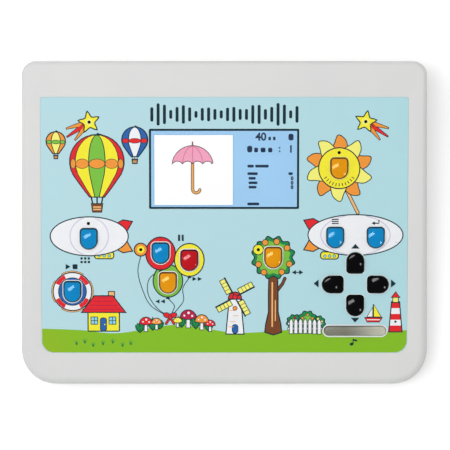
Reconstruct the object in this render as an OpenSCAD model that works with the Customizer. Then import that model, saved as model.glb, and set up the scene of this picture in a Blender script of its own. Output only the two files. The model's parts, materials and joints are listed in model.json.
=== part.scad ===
// Desk-top screening audiometer for children: a wedge housing with a printed front panel,
// a colour display, thirteen domed keys, a tone bar and a row of sockets at the rear.
// Millimetres. X runs from left to right, Y from front to rear, Z up from the table.
// The origin is on the table, below the middle of the housing.

/* [Housing] */
// Width of the housing at the parting line
case_w = 270; // [262:1:300]
// Depth of the housing at the parting line
case_d = 215; // [211:1:230]
// Height of the panel face above the table at the front edge
front_h = 27; // [26:0.5:34]
// Slope of the front panel, in degrees
panel_slope = 8.5; // [7.5:0.5:10]
// Corner radius of the outline at the front
front_corner_r = 23; // [16:1:28]
// Corner radius of the outline at the rear
rear_corner_r = 9; // [7:1:14]
// Radius of the rolled edge along the front of the panel
front_lip_r = 5; // [3:0.5:6]
// Radius of the rolled edge along the rear of the panel
rear_lip_r = 2.5; // [2:0.5:4]
// Height of the parting line between the two shells
parting_h = 18; // [17.5:0.5:19]

/* [Front panel] */
// Width of the printed overlay
overlay_w = 242; // [236:1:246]
// Length of the printed overlay along the slope
overlay_l = 170.6; // [168:0.2:174]
// Width of the display window
window_w = 98.6; // [92:0.2:100]
// Height of the display window along the slope
window_l = 53; // [50:0.2:54]

/* [Keys] */
// Width of a key cap
key_w = 11.8; // [10:0.2:12.4]
// Length of a key cap, from its flat end to the top of its arch
key_l = 14.3; // [13:0.1:15]
// Height of a key's crown above the overlay
key_rise = 2.6; // [1.8:0.1:3.4]
// Travel of a key
key_travel = 1; // [0.6:0.1:1]
// Length of the tone bar
tone_w = 40.8; // [34:0.2:44]
// Width of the tone bar
tone_l = 6; // [5:0.2:7]

/* [Sockets] */
// Radius of the bore of a headphone socket, for a 6.35 mm plug
jack_bore_r = 3.2; // [3.18:0.01:3.22]
// Radius of a rubber foot
foot_r = 8; // [6:0.5:9]

/* [Hidden] */
$fn = 48;
eps = 0.01;

// Colours
shell_grey = "#DEDFDD";
sky_blue = "#B9E0E6";
key_blue = "#1E8FD0";
key_orange = "#F8A01C";
key_red = "#D01A28";
key_black = "#0E0C12";
board_green = "#1F6B45";
steel = "#B9BCC0";
black_plastic = "#222326";
rubber_black = "#2A2A2C";

// Panel frame: its own X, Y and Z are the panel's width, slope and outward normal
panel_mid_h = front_h + case_d / 2 * tan(panel_slope);
function panel_h(y) = panel_mid_h + y * tan(panel_slope);

// Shells
wall = 2.6;
panel_t = 3;
side_lean = 3;
rear_lean = (panel_h(case_d / 2) - parting_h) * tan(side_lean);
front_lean = (front_h - parting_h) * tan(side_lean);
liner = rear_lean + wall;
base_h = 3;
base_floor_t = 3;
floor_h = base_h + base_floor_t;
base_lip_r = 3;
parting_gap = 0.5;
tongue_in = 1.8;
tongue_out = 3.2;
tongue_h = 1.2;
fit_gap = 0.2;

// Panel levels, measured along the panel's normal from the housing's face
recess_d = 0.6;
overlay_t = 0.5;
overlay_top = overlay_t - recess_d;
flange_top = -panel_t - 0.3;
flange_t = 1.1;
key_foot = flange_top - flange_t - 0.5;
mat_top = key_foot - key_travel - 0.1;
mat_dome_h = 1;
mat_t = 1;
board_top = mat_top - mat_dome_h - mat_t;
board_t = 1.6;
overlay_v = -2.1;

// Key caps: plan, crown and guiding flange
key_corner_r = 2.6;
key_crown_r = 24;
key_roll = 2.2;
key_flange = 0.9;
hole_gap = 0.3;
overlay_gap = 0.4;

// Each key: name, place across and along the panel, turn of its arch, colour
keys = [
  ["key_group", [-89.6, -10.9], 0, key_blue],
  ["key_start_stop", [-100.6, -46.3], 0, key_blue],
  ["key_pause", [-42.2, -20.5], 0, key_blue],
  ["key_forward", [-23.2, -25.3], 0, key_red],
  ["key_rewind", [-37.4, -40.3], 0, key_orange],
  ["key_left_right", [32.3, -23.5], 0, key_orange],
  ["key_audiometer", [75.7, 36.1], 0, key_orange],
  ["key_menu", [73.2, -10.1], 0, key_blue],
  ["key_enter", [100, -10.1], 0, key_blue],
  ["key_up", [86.6, -27.1], 180, key_black],
  ["key_left", [71.7, -41.5], -90, key_black],
  ["key_right", [101.6, -41.5], 90, key_black],
  ["key_down", [86.6, -55.6], 0, key_black]
];
tone_place = [86.6, -72.6];
lamps = [
  [-89, 66.7], [93, 67], [-89.8, -0.7], [75.6, 46.5], [-55.3, -18.2], [22.4, -18.2]
];
lamp_r = 1;
lamp_flange_r = 1.7;

// Display stack, downwards from the underside of the panel
window_place = [-0.2, 35.6];
window_edge = 2.2;
window_flange_t = 1;
gasket_t = 0.6;
bezel_t = 4;
bezel_skin = 0.5;
bezel_margin = 4.4;
glass_t = 1.4;
bezel_top = -panel_t - window_flange_t - gasket_t;
bezel_low = bezel_top - bezel_t;
ear_t = 1;
ear_x = 57;
ear_y = 20;

// Keypad board and its screws
keypad_w = 224;
keypad_front = -82;
keypad_rear = 78;
notch_w = 126;
notch_front = 3;
keypad_screws = [
  [-108.5, -78.8], [-40, -78], [56, -78], [108.5, -78.8], [-108, 4], [108, 4],
  [-108, 72], [-70, 72], [70, 72], [108, 72], [-2, -2]
];
boss_r = 3;
pilot_r = 1.1;
small_head_r = 2.3;
small_head_t = 1.5;
small_shank_r = 1;

// Main board on the bottom shell
main_w = 204;
main_front = 14;
main_rear = 99;
main_h = 20;
main_top = main_h + board_t;
main_screws = [
  [-97, 20], [97, 20], [-97, 92], [97, 92], [0, 20], [0, 74]
];

// Screws that hold the two shells together
case_screw_x = 122;
case_screw_ys = [-88, 0, 90];
case_boss_r = 4.2;
case_pilot_r = 1.45;
case_shank_r = 1.4;
case_head_r = 2.9;
case_sink_r = 3.4;
case_sink_h = 10;

// Rear bay and its sockets
bay_w = 190;
bay_l = 19;
bay_mid_h = 30;
bay_ledge_t = 1.2;
bay_ledge_out = 2;
plate_t = 1.5;
plate_in = case_d / 2 - liner;
plate_out = plate_in + plate_t;
socket_face = plate_in - bay_ledge_t - 0.4;
jack_body = [15, 24, 16.8];
jack_collar_r = 4.4;
jack_depth = 27;
jack_mouth = plate_out + 1.7;
nut_flats = 12;
left_jack_x = -74;
right_jack_x = -50;
response_x = -20;
usb_x = 10;
inlet_x = 38;
switch_x = 70;
usb_shell = [12, 16, 11];
usb_hole = [8.5, 7.8];
inlet_body = [9, 14, 14];
inlet_r = 2.8;

// Power switch
switch_flange = [21, 15];
switch_well = [16.8, 10.6];
rocker_tilt = 10;
rocker_pivot = plate_out - 4.4;
rocker_r = 8.1;

// Battery bay under the middle of the housing
cell_r = 7.1;
cell_len = 49.5;
cell_pitch = 14.8;
cell_count = 4;
bay_front = -61;
bay_rear = -1;
battery_w = cell_count * cell_pitch + 2;
battery_roof = 21.6;
door_w = battery_w + 5;
door_t = 1.9;
battery_mid = (bay_front + bay_rear) / 2;
door_l = bay_rear - bay_front;
foot_places = [[-106, -84], [106, -84], [-106, 86], [106, 86]];

module on_panel() {
  translate([0, 0, panel_mid_h]) rotate([panel_slope, 0, 0]) children();
}

// A slab in the panel frame between two levels
module layer(low, high) {
  translate([0, 0, low]) linear_extrude(high - low) children();
}

module mirrored_x() {
  children();
  mirror([1, 0, 0]) children();
}

module block(size, at = [0, 0, 0]) {
  translate([at[0] - size[0] / 2, at[1] - size[1] / 2, at[2]]) cube(size);
}

module rounded_rect(w, l, r) {
  square([w - 2 * r, l], center = true);
  square([w, l - 2 * r], center = true);
  for (x = [-1, 1], y = [-1, 1]) {
    translate([x * (w / 2 - r), y * (l / 2 - r)]) circle(r, $fn = 32);
  }
}

// Plan of the housing, drawn in by an inset: wide corners in front, tight ones behind
module plan(inset) {
  fr = front_corner_r - inset;
  rr = rear_corner_r - inset;
  half_w = case_w / 2 - inset;
  half_d = case_d / 2 - inset;
  translate([-half_w, -half_d + fr]) square([2 * half_w, 2 * half_d - fr - rr]);
  translate([-half_w + fr, -half_d]) square([2 * (half_w - fr), 2 * half_d - rr]);
  translate([-half_w + rr, 0]) square([2 * (half_w - rr), half_d]);
  mirrored_x() {
    translate([half_w - fr, -half_d + fr]) circle(fr, $fn = 96);
    translate([half_w - rr, half_d - rr]) circle(rr, $fn = 48);
  }
}

// One rounded corner post of a shell, with a rolled upper edge
module rolled_disc(r, roll) {
  rotate_extrude($fn = 64) {
    square([r - roll, roll]);
    intersection() {
      translate([r - roll, 0]) circle(roll, $fn = 32);
      square([r, roll]);
    }
  }
}

module corner_posts(inset_x, front_y, rear_y, fr, rr) {
  mirrored_x() {
    translate([case_w / 2 - inset_x[0] - fr, front_y + fr, 0]) children(0);
    translate([case_w / 2 - inset_x[1] - rr, rear_y - rr, 0]) children(1);
  }
}

// The wedge above the parting line: its walls lean in and its upper edges are rolled
module wedge_form() {
  front_v = -(case_d / 2 - front_lean + front_lip_r * sin(panel_slope)) / cos(panel_slope);
  rear_v = (case_d / 2 - rear_lean - rear_lip_r * sin(panel_slope)) / cos(panel_slope);
  hull() {
    translate([0, 0, parting_h])
      corner_posts([0, 0], -case_d / 2, case_d / 2, front_corner_r, rear_corner_r) {
        cylinder(r = front_corner_r, h = 0.5, $fn = 64);
        cylinder(r = rear_corner_r, h = 0.5, $fn = 48);
      }
    on_panel()
      corner_posts(
        [front_lean, rear_lean], front_v, rear_v, front_corner_r, rear_corner_r
      ) {
        translate([0, 0, -front_lip_r]) rolled_disc(front_corner_r, front_lip_r);
        translate([0, 0, -rear_lip_r]) rolled_disc(rear_corner_r, rear_lip_r);
      }
  }
}

// The tray below the parting line, rolled in at its lower edge
module tray_form() {
  lean = (parting_h - base_h) * tan(side_lean);
  low_d = case_d / 2 - lean;
  hull() {
    translate([0, 0, parting_h - parting_gap - 0.5])
      corner_posts([0, 0], -case_d / 2, case_d / 2, front_corner_r, rear_corner_r) {
        cylinder(r = front_corner_r, h = 0.5, $fn = 64);
        cylinder(r = rear_corner_r, h = 0.5, $fn = 48);
      }
    translate([0, 0, base_h])
      corner_posts([lean, lean], -low_d, low_d, front_corner_r, rear_corner_r) {
        translate([0, 0, base_lip_r]) mirror([0, 0, 1]) rolled_disc(front_corner_r, base_lip_r);
        translate([0, 0, base_lip_r]) mirror([0, 0, 1]) rolled_disc(rear_corner_r, base_lip_r);
      }
  }
}

// Plan of a key: flat end up, round arch down, grown by a margin
module key_plan(margin) {
  r = key_w / 2;
  c = key_corner_r + margin;
  arch_y = -key_l / 2 + r;
  flat_y = key_l / 2 - key_corner_r;
  translate([0, arch_y]) circle(r + margin);
  translate([-r - margin, arch_y]) square([key_w + 2 * margin, flat_y - arch_y]);
  translate([-r + key_corner_r, arch_y]) square([key_w - 2 * key_corner_r, flat_y - arch_y + c]);
  for (side = [-1, 1]) translate([side * (r - key_corner_r), flat_y]) circle(c);
}

// Half of an upright section, a rectangle whose upper outer corner is rolled over
module rolled_section(half_w, h, roll) {
  square([half_w - roll, h]);
  square([half_w, h - roll]);
  translate([half_w - roll, h - roll]) circle(roll);
}

module rolled_post(r, h) {
  rotate_extrude() intersection() {
    rolled_section(r, h, key_roll);
    square([r, h]);
  }
}

// A slab with the key's plan, whose upper edge is rolled over all the way round
module rolled_key(h) {
  r = key_w / 2;
  arch_y = -key_l / 2 + r;
  flat_y = key_l / 2 - key_corner_r;
  corner_x = r - key_corner_r;
  translate([0, arch_y, 0]) rolled_post(r, h);
  for (side = [-1, 1]) translate([side * corner_x, flat_y, 0]) rolled_post(key_corner_r, h);
  mirrored_x() translate([0, flat_y, 0]) rotate([90, 0, 0]) {
    linear_extrude(flat_y - arch_y) rolled_section(r, h, key_roll);
  }
  translate([-corner_x, arch_y, 0]) rotate([90, 0, 90]) {
    linear_extrude(2 * corner_x) rolled_section(key_l / 2 - arch_y, h, key_roll);
  }
}

// A domed cap with its guiding flange under the panel and its foot above the mat
module key_cap(k) {
  crown = overlay_top + key_rise;
  on_panel() translate([k[1][0], k[1][1], 0]) rotate(k[2]) {
    intersection() {
      translate([0, 0, flange_top - eps]) rolled_key(crown - flange_top + eps);
      translate([0, 0, crown - key_crown_r]) sphere(key_crown_r, $fn = 96);
    }
    layer(flange_top - flange_t, flange_top) key_plan(key_flange);
    layer(key_foot, flange_top - flange_t + eps) circle(2.5);
  }
}

module one_key(name) {
  for (k = keys) if (k[0] == name) color(k[3]) key_cap(k);
}

module pill(w, l) {
  square([w - l, l], center = true);
  for (side = [-1, 1]) translate([side * (w - l) / 2, 0]) circle(l / 2);
}

module tone_bar() {
  crown = overlay_top + 1.8;
  bar_r = 5;
  color("#A9A9A2") on_panel() translate([tone_place[0], tone_place[1], 0]) {
    intersection() {
      layer(flange_top - eps, crown) pill(tone_w, tone_l);
      translate([0, 0, crown - bar_r]) rotate([0, 90, 0]) {
        cylinder(r = bar_r, h = tone_w, center = true, $fn = 96);
      }
    }
    layer(flange_top - flange_t, flange_top) pill(tone_w + 2 * key_flange, tone_l + 2 * key_flange);
    for (side = [-1, 1]) {
      layer(key_foot, flange_top - flange_t + eps) translate([side * 12, 0]) circle(2.5);
    }
  }
}

// Everything that is cut through the panel for keys, tone bar and lamps
module control_holes(gap) {
  for (k = keys) translate(k[1]) rotate(k[2]) key_plan(gap);
  translate(tone_place) pill(tone_w + 2 * gap, tone_l + 2 * gap);
}

module lamp_holes(r) {
  for (p = lamps) translate(p) circle(r, $fn = 24);
}

module window_plan(margin) {
  translate(window_place) rounded_rect(window_w + 2 * margin, window_l + 2 * margin, 1);
}

// Overlay outline: nearly square corners behind, rounder ones in front
module overlay_plan(gap) {
  w = overlay_w + 2 * gap;
  l = overlay_l + 2 * gap;
  fr = 8;
  rr = 2;
  translate([0, overlay_v]) {
    translate([-w / 2, -l / 2 + fr]) square([w, l - fr - rr]);
    translate([-w / 2 + fr, -l / 2]) square([w - 2 * fr, l / 2]);
    translate([-w / 2 + rr, 0]) square([w - 2 * rr, l / 2]);
    mirrored_x() {
      translate([w / 2 - fr, -l / 2 + fr]) circle(fr);
      translate([w / 2 - rr, l / 2 - rr]) circle(rr);
    }
  }
}

module ear_places() {
  for (x = [-1, 1], y = [-1, 1]) {
    translate([window_place[0] + x * ear_x, window_place[1] + y * ear_y]) children();
  }
}

module case_bosses() {
  for (y = case_screw_ys) {
    top = panel_h(y) - 2;
    mirrored_x() {
      translate([case_screw_x, y, parting_h]) cylinder(r = case_boss_r, h = top - parting_h);
      translate([case_screw_x, y - 1, parting_h + tongue_h + 1]) {
        cube([case_w / 2 - liner - case_screw_x + 1, 2, top - parting_h - tongue_h - 1]);
      }
    }
  }
}

module panel_bosses() {
  on_panel() {
    layer(board_top, -panel_t + 0.5) for (p = keypad_screws) translate(p) circle(boss_r);
    layer(bezel_low + ear_t, -panel_t + 0.5) ear_places() circle(boss_r);
  }
}

module cavity() {
  intersection() {
    translate([0, 0, parting_h - 1]) linear_extrude(60) plan(liner);
    on_panel() layer(-90, -panel_t) square([case_w, case_d * 1.1], center = true);
  }
}

module at_bay(x, y) {
  translate([x, y, bay_mid_h]) rotate([-90, 0, 0]) children();
}

// Ledge round the bay, inside the rear wall, that the rear plate lies against
module bay_ledge() {
  at_bay(0, plate_in - bay_ledge_t) linear_extrude(bay_ledge_t + eps) {
    rounded_rect(bay_w + 2 * bay_ledge_out, bay_l + bay_ledge_out, 2);
  }
}

module bay_openings() {
  at_bay(0, plate_in) linear_extrude(20) rounded_rect(bay_w, bay_l, 2);
  at_bay(0, plate_in - 5) linear_extrude(20) rounded_rect(bay_w - 8, bay_l - 5, 2);
  usb_notch();
}

module usb_notch() {
  block([usb_shell[0] + 0.4, 8, usb_shell[2] + 0.4], [usb_x, plate_in, main_top - 0.2]);
}

module top_case() {
  color(shell_grey) difference() {
    union() {
      difference() {
        wedge_form();
        cavity();
        translate([0, 0, parting_h - eps]) linear_extrude(tongue_h + 0.2) plan(tongue_in - fit_gap);
      }
      case_bosses();
      panel_bosses();
      bay_ledge();
    }
    on_panel() {
      layer(-recess_d, 5) overlay_plan(fit_gap);
      layer(-panel_t - 1, 5) window_plan(fit_gap);
      layer(-panel_t - 0.2, 5) control_holes(hole_gap);
      layer(-panel_t - 1, 5) lamp_holes(lamp_r + 0.1);
      layer(board_top - 1, -panel_t - 0.2) for (p = keypad_screws) translate(p) circle(pilot_r);
      layer(bezel_low, -panel_t - 0.2) ear_places() circle(pilot_r);
    }
    bay_openings();
    for (y = case_screw_ys) mirrored_x() {
      translate([case_screw_x, y, parting_h - 1]) cylinder(r = case_pilot_r, h = 10);
    }
  }
}

module battery_box() {
  translate([0, battery_mid, floor_h - eps]) {
    linear_extrude(battery_roof - floor_h) square([battery_w + 3.6, door_l + 1], center = true);
  }
}

module battery_hollow() {
  translate([0, battery_mid, base_h - 1]) {
    linear_extrude(battery_roof - 1.6 - base_h + 1) square([battery_w, door_l - 2.6], center = true);
  }
}

module bottom_case() {
  color(shell_grey) difference() {
    union() {
      difference() {
        tray_form();
        translate([0, 0, floor_h]) linear_extrude(30) plan(tongue_out);
      }
      translate([0, 0, parting_h - parting_gap - 1]) linear_extrude(tongue_h + parting_gap + 0.8) {
        difference() {
          plan(tongue_in);
          plan(tongue_out);
        }
      }
      for (y = case_screw_ys) mirrored_x() translate([case_screw_x, y, floor_h - eps]) {
        cylinder(r = case_sink_r + 1.6, h = parting_h - floor_h);
      }
      for (p = main_screws) translate([p[0], p[1], floor_h - eps]) {
        cylinder(r1 = boss_r + 1, r2 = boss_r, h = main_h - floor_h + eps);
      }
      battery_box();
    }
    for (y = case_screw_ys) mirrored_x() translate([case_screw_x, y, 0]) {
      cylinder(r = case_sink_r, h = case_sink_h);
      cylinder(r = case_shank_r + 0.3, h = 30);
    }
    for (p = main_screws) translate([p[0], p[1], main_h - 9]) cylinder(r = pilot_r, h = 10);
    for (p = foot_places) translate([p[0], p[1], 0]) cylinder(r = foot_r + 0.1, h = base_h + 1);
    battery_hollow();
    translate([0, battery_mid, 0]) linear_extrude(base_h + door_t + 0.1) {
      rounded_rect(door_w, door_l + 2, 2);
    }
  }
}

module front_overlay() {
  color(sky_blue) on_panel() layer(-recess_d, overlay_top) difference() {
    overlay_plan(0);
    control_holes(overlay_gap);
    window_plan(fit_gap);
    lamp_holes(lamp_r + 0.1);
  }
}

module display_window() {
  color("#9CCBF2", 0.5) on_panel() {
    layer(-panel_t - eps, overlay_top) window_plan(0);
    layer(-panel_t - window_flange_t, -panel_t) window_plan(window_edge);
  }
}

module display_gasket() {
  color(rubber_black) on_panel() {
    layer(-panel_t - window_flange_t - gasket_t, -panel_t - window_flange_t) difference() {
      window_plan(window_edge);
      window_plan(-0.5);
    }
  }
}

module display_bezel() {
  cavity_margin = bezel_margin - bezel_skin;
  color(steel) on_panel() difference() {
    union() {
      layer(bezel_low, bezel_top) window_plan(bezel_margin);
      layer(bezel_low, bezel_low + ear_t) ear_places() rounded_rect(8, 7, 2);
    }
    layer(bezel_low - 1, bezel_top - bezel_skin) window_plan(cavity_margin);
    layer(bezel_low - 1, bezel_top + 1) window_plan(-0.5);
    layer(bezel_low - 1, bezel_top + 1) ear_places() circle(1.3);
  }
}

module display_glass() {
  color("#2B3440") on_panel() {
    layer(bezel_top - bezel_skin - glass_t, bezel_top - bezel_skin) window_plan(bezel_margin - 0.7);
  }
}

module display_backlight() {
  color("#F2F2EE") on_panel() {
    layer(bezel_low, bezel_top - bezel_skin - glass_t) window_plan(bezel_margin - 0.7);
  }
}

// A flat strip that rises, turns to the rear by a rounded bend, and rises again
module ribbon_path(low, high, run, bend, t) {
  mid = (low + high) / 2;
  translate([-t / 2, low]) square([t, mid - bend - low + eps]);
  translate([bend, mid - bend]) intersection() {
    difference() {
      circle(bend + t / 2);
      circle(bend - t / 2);
    }
    translate([-bend - t, 0]) square([bend + t, bend + t]);
  }
  translate([bend - eps, mid - t / 2]) square([run - 2 * bend + 2 * eps, t]);
  translate([run - bend, mid + bend]) intersection() {
    difference() {
      circle(bend + t / 2);
      circle(bend - t / 2);
    }
    translate([0, -bend - t]) square([bend + t, bend + t]);
  }
  translate([run - t / 2, mid + bend - eps]) square([t, high - mid - bend + eps]);
}

module ribbon(at, width, low, high, run, bend, t) {
  translate([at[0] - width / 2, at[1], 0]) rotate([90, 0, 90]) {
    linear_extrude(width) ribbon_path(low, high, run, bend, t);
  }
}

display_tail = [0, 30];
keypad_tail = [-86, 40];
tail_run = 20;
tail_bend = 2.5;
header_h = 4;

module display_ribbon() {
  y = display_tail[1];
  high = panel_h(y + tail_run / 2) + bezel_low / cos(panel_slope) - 0.3;
  color("#C98A3C") {
    ribbon(display_tail, 30, main_top + header_h, high, tail_run / 2, tail_bend, 0.4);
  }
}

module keypad_ribbon() {
  y = keypad_tail[1] + tail_run;
  low_w = board_top - board_t - header_h;
  high = panel_h(y) + low_w / cos(panel_slope) - 0.5;
  color("#B9BCC0") {
    ribbon(keypad_tail, 25, main_top + header_h, high, tail_run, tail_bend, 0.9);
  }
}

module keypad_plan() {
  difference() {
    translate([-keypad_w / 2, keypad_front]) square([keypad_w, keypad_rear - keypad_front]);
    translate([-notch_w / 2, notch_front]) square([notch_w, keypad_rear]);
  }
}

module keypad_board() {
  color(board_green) on_panel() layer(board_top - board_t, board_top) difference() {
    keypad_plan();
    for (p = keypad_screws) translate(p) circle(1.4);
  }
}

// Silicone mat: one sheet with a raised dome under each key and two under the tone bar
module keypad_mat() {
  mat_low = board_top;
  color("#8E9296") on_panel() {
    layer(mat_low, mat_low + mat_t) difference() {
      union() {
        translate([-109, -80]) square([218, 80]);
        translate([63, -1]) square([26, 45]);
      }
      for (p = keypad_screws) translate(p) circle(boss_r + 0.5);
      lamp_holes(2);
    }
    for (k = keys) translate([k[1][0], k[1][1], mat_low + mat_t - eps]) mat_dome();
    for (side = [-1, 1]) {
      translate([tone_place[0] + side * 12, tone_place[1], mat_low + mat_t - eps]) mat_dome();
    }
  }
}

module mat_dome() {
  cylinder(r1 = 4.2, r2 = 3, h = mat_dome_h + eps);
}

module light_pipes() {
  color("#3A3A3C") on_panel() for (p = lamps) translate(p) {
    layer(board_top + 1.9, overlay_top) circle(lamp_r, $fn = 24);
    layer(-panel_t - 1, -panel_t) circle(lamp_flange_r, $fn = 24);
  }
}

module indicator_leds() {
  color("#D8E4D0") on_panel() for (p = lamps) translate(p) {
    layer(board_top, board_top + 1.8) circle(1.5, $fn = 24);
  }
}

module main_board() {
  color(board_green) translate([0, 0, main_h]) linear_extrude(board_t) difference() {
    translate([-main_w / 2, main_front]) square([main_w, main_rear - main_front]);
    for (p = main_screws) translate(p) circle(1.4);
  }
}

module processor_chips() {
  color(black_plastic) {
    block([20, 20, 1.6], [-30, 48, main_top]);
    block([12, 18, 1.6], [-58, 60, main_top]);
    block([7, 10, 1.6], [24, 30, main_top]);
    block([10, 7, 1.6], [-8, 62, main_top]);
    block([10, 7, 1.6], [20, 62, main_top]);
  }
}

// Audio transformers: a laminated core around a wound bobbin
module output_transformers() {
  for (x = [44, 72]) translate([x, 52, main_top]) {
    color("#6C6E70") difference() {
      block([22, 10, 12]);
      block([5, 12, 8], [-5.5, 0, 2]);
      block([5, 12, 8], [5.5, 0, 2]);
    }
    color("#B87333") difference() {
      block([15.6, 16, 7.6], [0, 0, 2.2]);
      block([6.4, 10.2, 9], [0, 0, 1.6]);
      for (side = [-1, 1]) block([2, 10.2, 9], [side * 9, 0, 1.6]);
    }
  }
}

module relays() {
  color("#E4E2DA") for (x = [-74, -50]) block([10, 18, 10], [x, 26, main_top]);
}

module capacitors() {
  color("#2A3C66") for (p = [[38, 76], [50, 76], [62, 76], [28, 42], [8, 48]]) {
    translate([p[0], p[1], main_top]) {
      cylinder(r = 4, h = 1);
      cylinder(r = 3.7, h = 11);
    }
  }
}

// White plug headers: two on the main board and one under the keypad board
module board_headers() {
  color("#EEEDE6") {
    block([32, 5, header_h], [display_tail[0], display_tail[1], main_top]);
    block([30, 7, header_h], [keypad_tail[0], keypad_tail[1], main_top]);
    on_panel() {
      v = (keypad_tail[1] + tail_run) / cos(panel_slope) + 1.6 - header_h * sin(panel_slope);
      translate([keypad_tail[0], v, board_top - board_t - header_h]) block([30, 8, header_h]);
    }
    block([16, 6, 7], [84, 34, main_top]);
  }
}

module small_screw() {
  translate([0, 0, -small_head_t]) cylinder(r = small_head_r, h = small_head_t);
  translate([0, 0, -eps]) cylinder(r = small_shank_r, h = 6);
}

module board_screws() {
  color(steel) {
    on_panel() {
      for (p = keypad_screws) translate([p[0], p[1], board_top - board_t]) small_screw();
      translate([0, 0, bezel_low]) ear_places() scale([1, 1, 0.6]) small_screw();
    }
    for (p = main_screws) translate([p[0], p[1], main_top]) mirror([0, 0, 1]) small_screw();
  }
}

module case_screws() {
  color(steel) for (y = case_screw_ys) mirrored_x() translate([case_screw_x, y, 0]) {
    difference() {
      translate([0, 0, case_sink_h - 2]) cylinder(r = case_head_r, h = 2);
      translate([0, 0, case_sink_h - 2.1]) cylinder(r = 1.1, h = 1.3, $fn = 6);
    }
    translate([0, 0, case_sink_h - eps]) cylinder(r = case_shank_r, h = 16);
  }
}

module rubber_feet() {
  color(rubber_black) for (p = foot_places) translate([p[0], p[1], 0]) {
    cylinder(r1 = foot_r - 1, r2 = foot_r, h = 1);
    translate([0, 0, 1 - eps]) cylinder(r = foot_r, h = base_h + eps);
  }
}

module rear_panel() {
  color(black_plastic) difference() {
    at_bay(0, plate_in) linear_extrude(plate_t) rounded_rect(bay_w - 0.4, bay_l - 0.4, 2);
    for (x = [left_jack_x, right_jack_x, response_x]) {
      at_bay(x, plate_in - 1) cylinder(r = jack_collar_r + 0.1, h = 4);
    }
    at_bay(inlet_x, plate_in - 1) cylinder(r = 4.3, h = 4);
    usb_notch();
    block([18.8, 8, 12.8], [switch_x, plate_in, bay_mid_h - 6.4]);
  }
}

// A board-mounted socket for a 6.35 mm plug, with a threaded collar through the rear plate
module phone_jack(x) {
  color(black_plastic) difference() {
    union() {
      block(jack_body, [x, socket_face - jack_body[1] / 2, main_top]);
      at_bay(x, socket_face - eps) cylinder(r = jack_collar_r, h = jack_mouth - socket_face + eps);
    }
    at_bay(x, jack_mouth - jack_depth) cylinder(r = jack_bore_r, h = jack_depth + 1);
  }
}

module jack_nuts() {
  color(steel) for (x = [left_jack_x, right_jack_x, response_x]) {
    at_bay(x, plate_out) difference() {
      cylinder(r = nut_flats / 2 / cos(30), h = 1.6, $fn = 6);
      translate([0, 0, -1]) cylinder(r = jack_collar_r + 0.05, h = 4);
    }
  }
}

module power_inlet() {
  color(black_plastic) {
    difference() {
      union() {
        block(inlet_body, [inlet_x, socket_face - inlet_body[1] / 2, main_top]);
        at_bay(inlet_x, socket_face - eps) cylinder(r = 4.2, h = plate_out - socket_face + 0.6);
      }
      at_bay(inlet_x, socket_face - 9) cylinder(r = inlet_r, h = 20);
    }
    at_bay(inlet_x, socket_face - 9 - eps) cylinder(r = 1, h = 9);
  }
}

module usb_socket() {
  tongue = [5.6, 3.2];
  mid = main_top + usb_shell[2] / 2;
  rear = plate_out + 0.4;
  color(steel) difference() {
    block(usb_shell, [usb_x, rear - usb_shell[1] / 2, main_top]);
    block([usb_hole[0], 12, usb_hole[1]], [usb_x, rear - 3, mid - usb_hole[1] / 2]);
  }
  color("#F0F0EE") {
    block([tongue[0], 8, tongue[1]], [usb_x, rear - 5, mid - tongue[1] / 2]);
  }
}

// Rocker switch: flange and body, with the well that the rocker tilts in
module power_switch() {
  body_y = rocker_pivot - 10;
  color(black_plastic) {
    difference() {
      union() {
        at_bay(switch_x, plate_out) linear_extrude(1.5) rounded_rect(switch_flange[0], switch_flange[1], 1.5);
        block([18.5, plate_out - body_y, 12.5], [switch_x, (plate_out + body_y) / 2, bay_mid_h - 6.25]);
      }
      block(
        [switch_well[0], 14, switch_well[1]],
        [switch_x, rocker_pivot - 3 + 7, bay_mid_h - switch_well[1] / 2]
      );
      translate([switch_x, rocker_pivot, bay_mid_h]) cylinder(r = 1.08, h = 12.1, center = true);
    }
  }
  color(steel) for (side = [-1, 1]) {
    block([0.8, 7, 4.8], [switch_x + side * 5, body_y - 3.5 + eps, bay_mid_h - 2.4]);
  }
}

// The rocker: two faces that meet over the pivot, at rest with its left side pressed in
module power_rocker() {
  rise = tan(rocker_tilt);
  color("#1A1A1C") translate([switch_x, rocker_pivot, bay_mid_h]) rotate(rocker_tilt) {
    linear_extrude(switch_well[1] - 0.6, center = true) intersection() {
      union() {
        circle(2.4);
        polygon([
          [-8, 1], [8, 1], [8, 3.4 + 8 * rise], [0, 3.4], [-8, 3.4 + 8 * rise]
        ]);
      }
      circle(rocker_r, $fn = 96);
    }
    cylinder(r = 1, h = switch_well[1] + 1, center = true);
  }
}

// The door lies in its rebate and has three finger grooves
module battery_door() {
  color(shell_grey) difference() {
    translate([0, battery_mid, base_h]) linear_extrude(door_t) {
      rounded_rect(door_w - 0.6, door_l + 1.4, 1.8);
    }
    for (i = [0:4]) translate([0, bay_front + 4 + i * 2.4, base_h]) rotate([0, 90, 0]) {
      cylinder(r = 0.7, h = 24, center = true, $fn = 24);
    }
  }
}

module cell_places() {
  for (i = [0:cell_count - 1]) {
    flip = i % 2;
    translate([(i - (cell_count - 1) / 2) * cell_pitch, battery_mid, base_h + door_t + 0.3 + cell_r]) {
      rotate([90, 0, flip * 180]) children();
    }
  }
}

module battery_cells() {
  color("#3E5C8A") cell_places() {
    translate([0, 0, -cell_len / 2]) cylinder(r = cell_r, h = cell_len - 1);
    translate([0, 0, cell_len / 2 - 1 - eps]) cylinder(r = 2.7, h = 1 + eps);
  }
}

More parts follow.
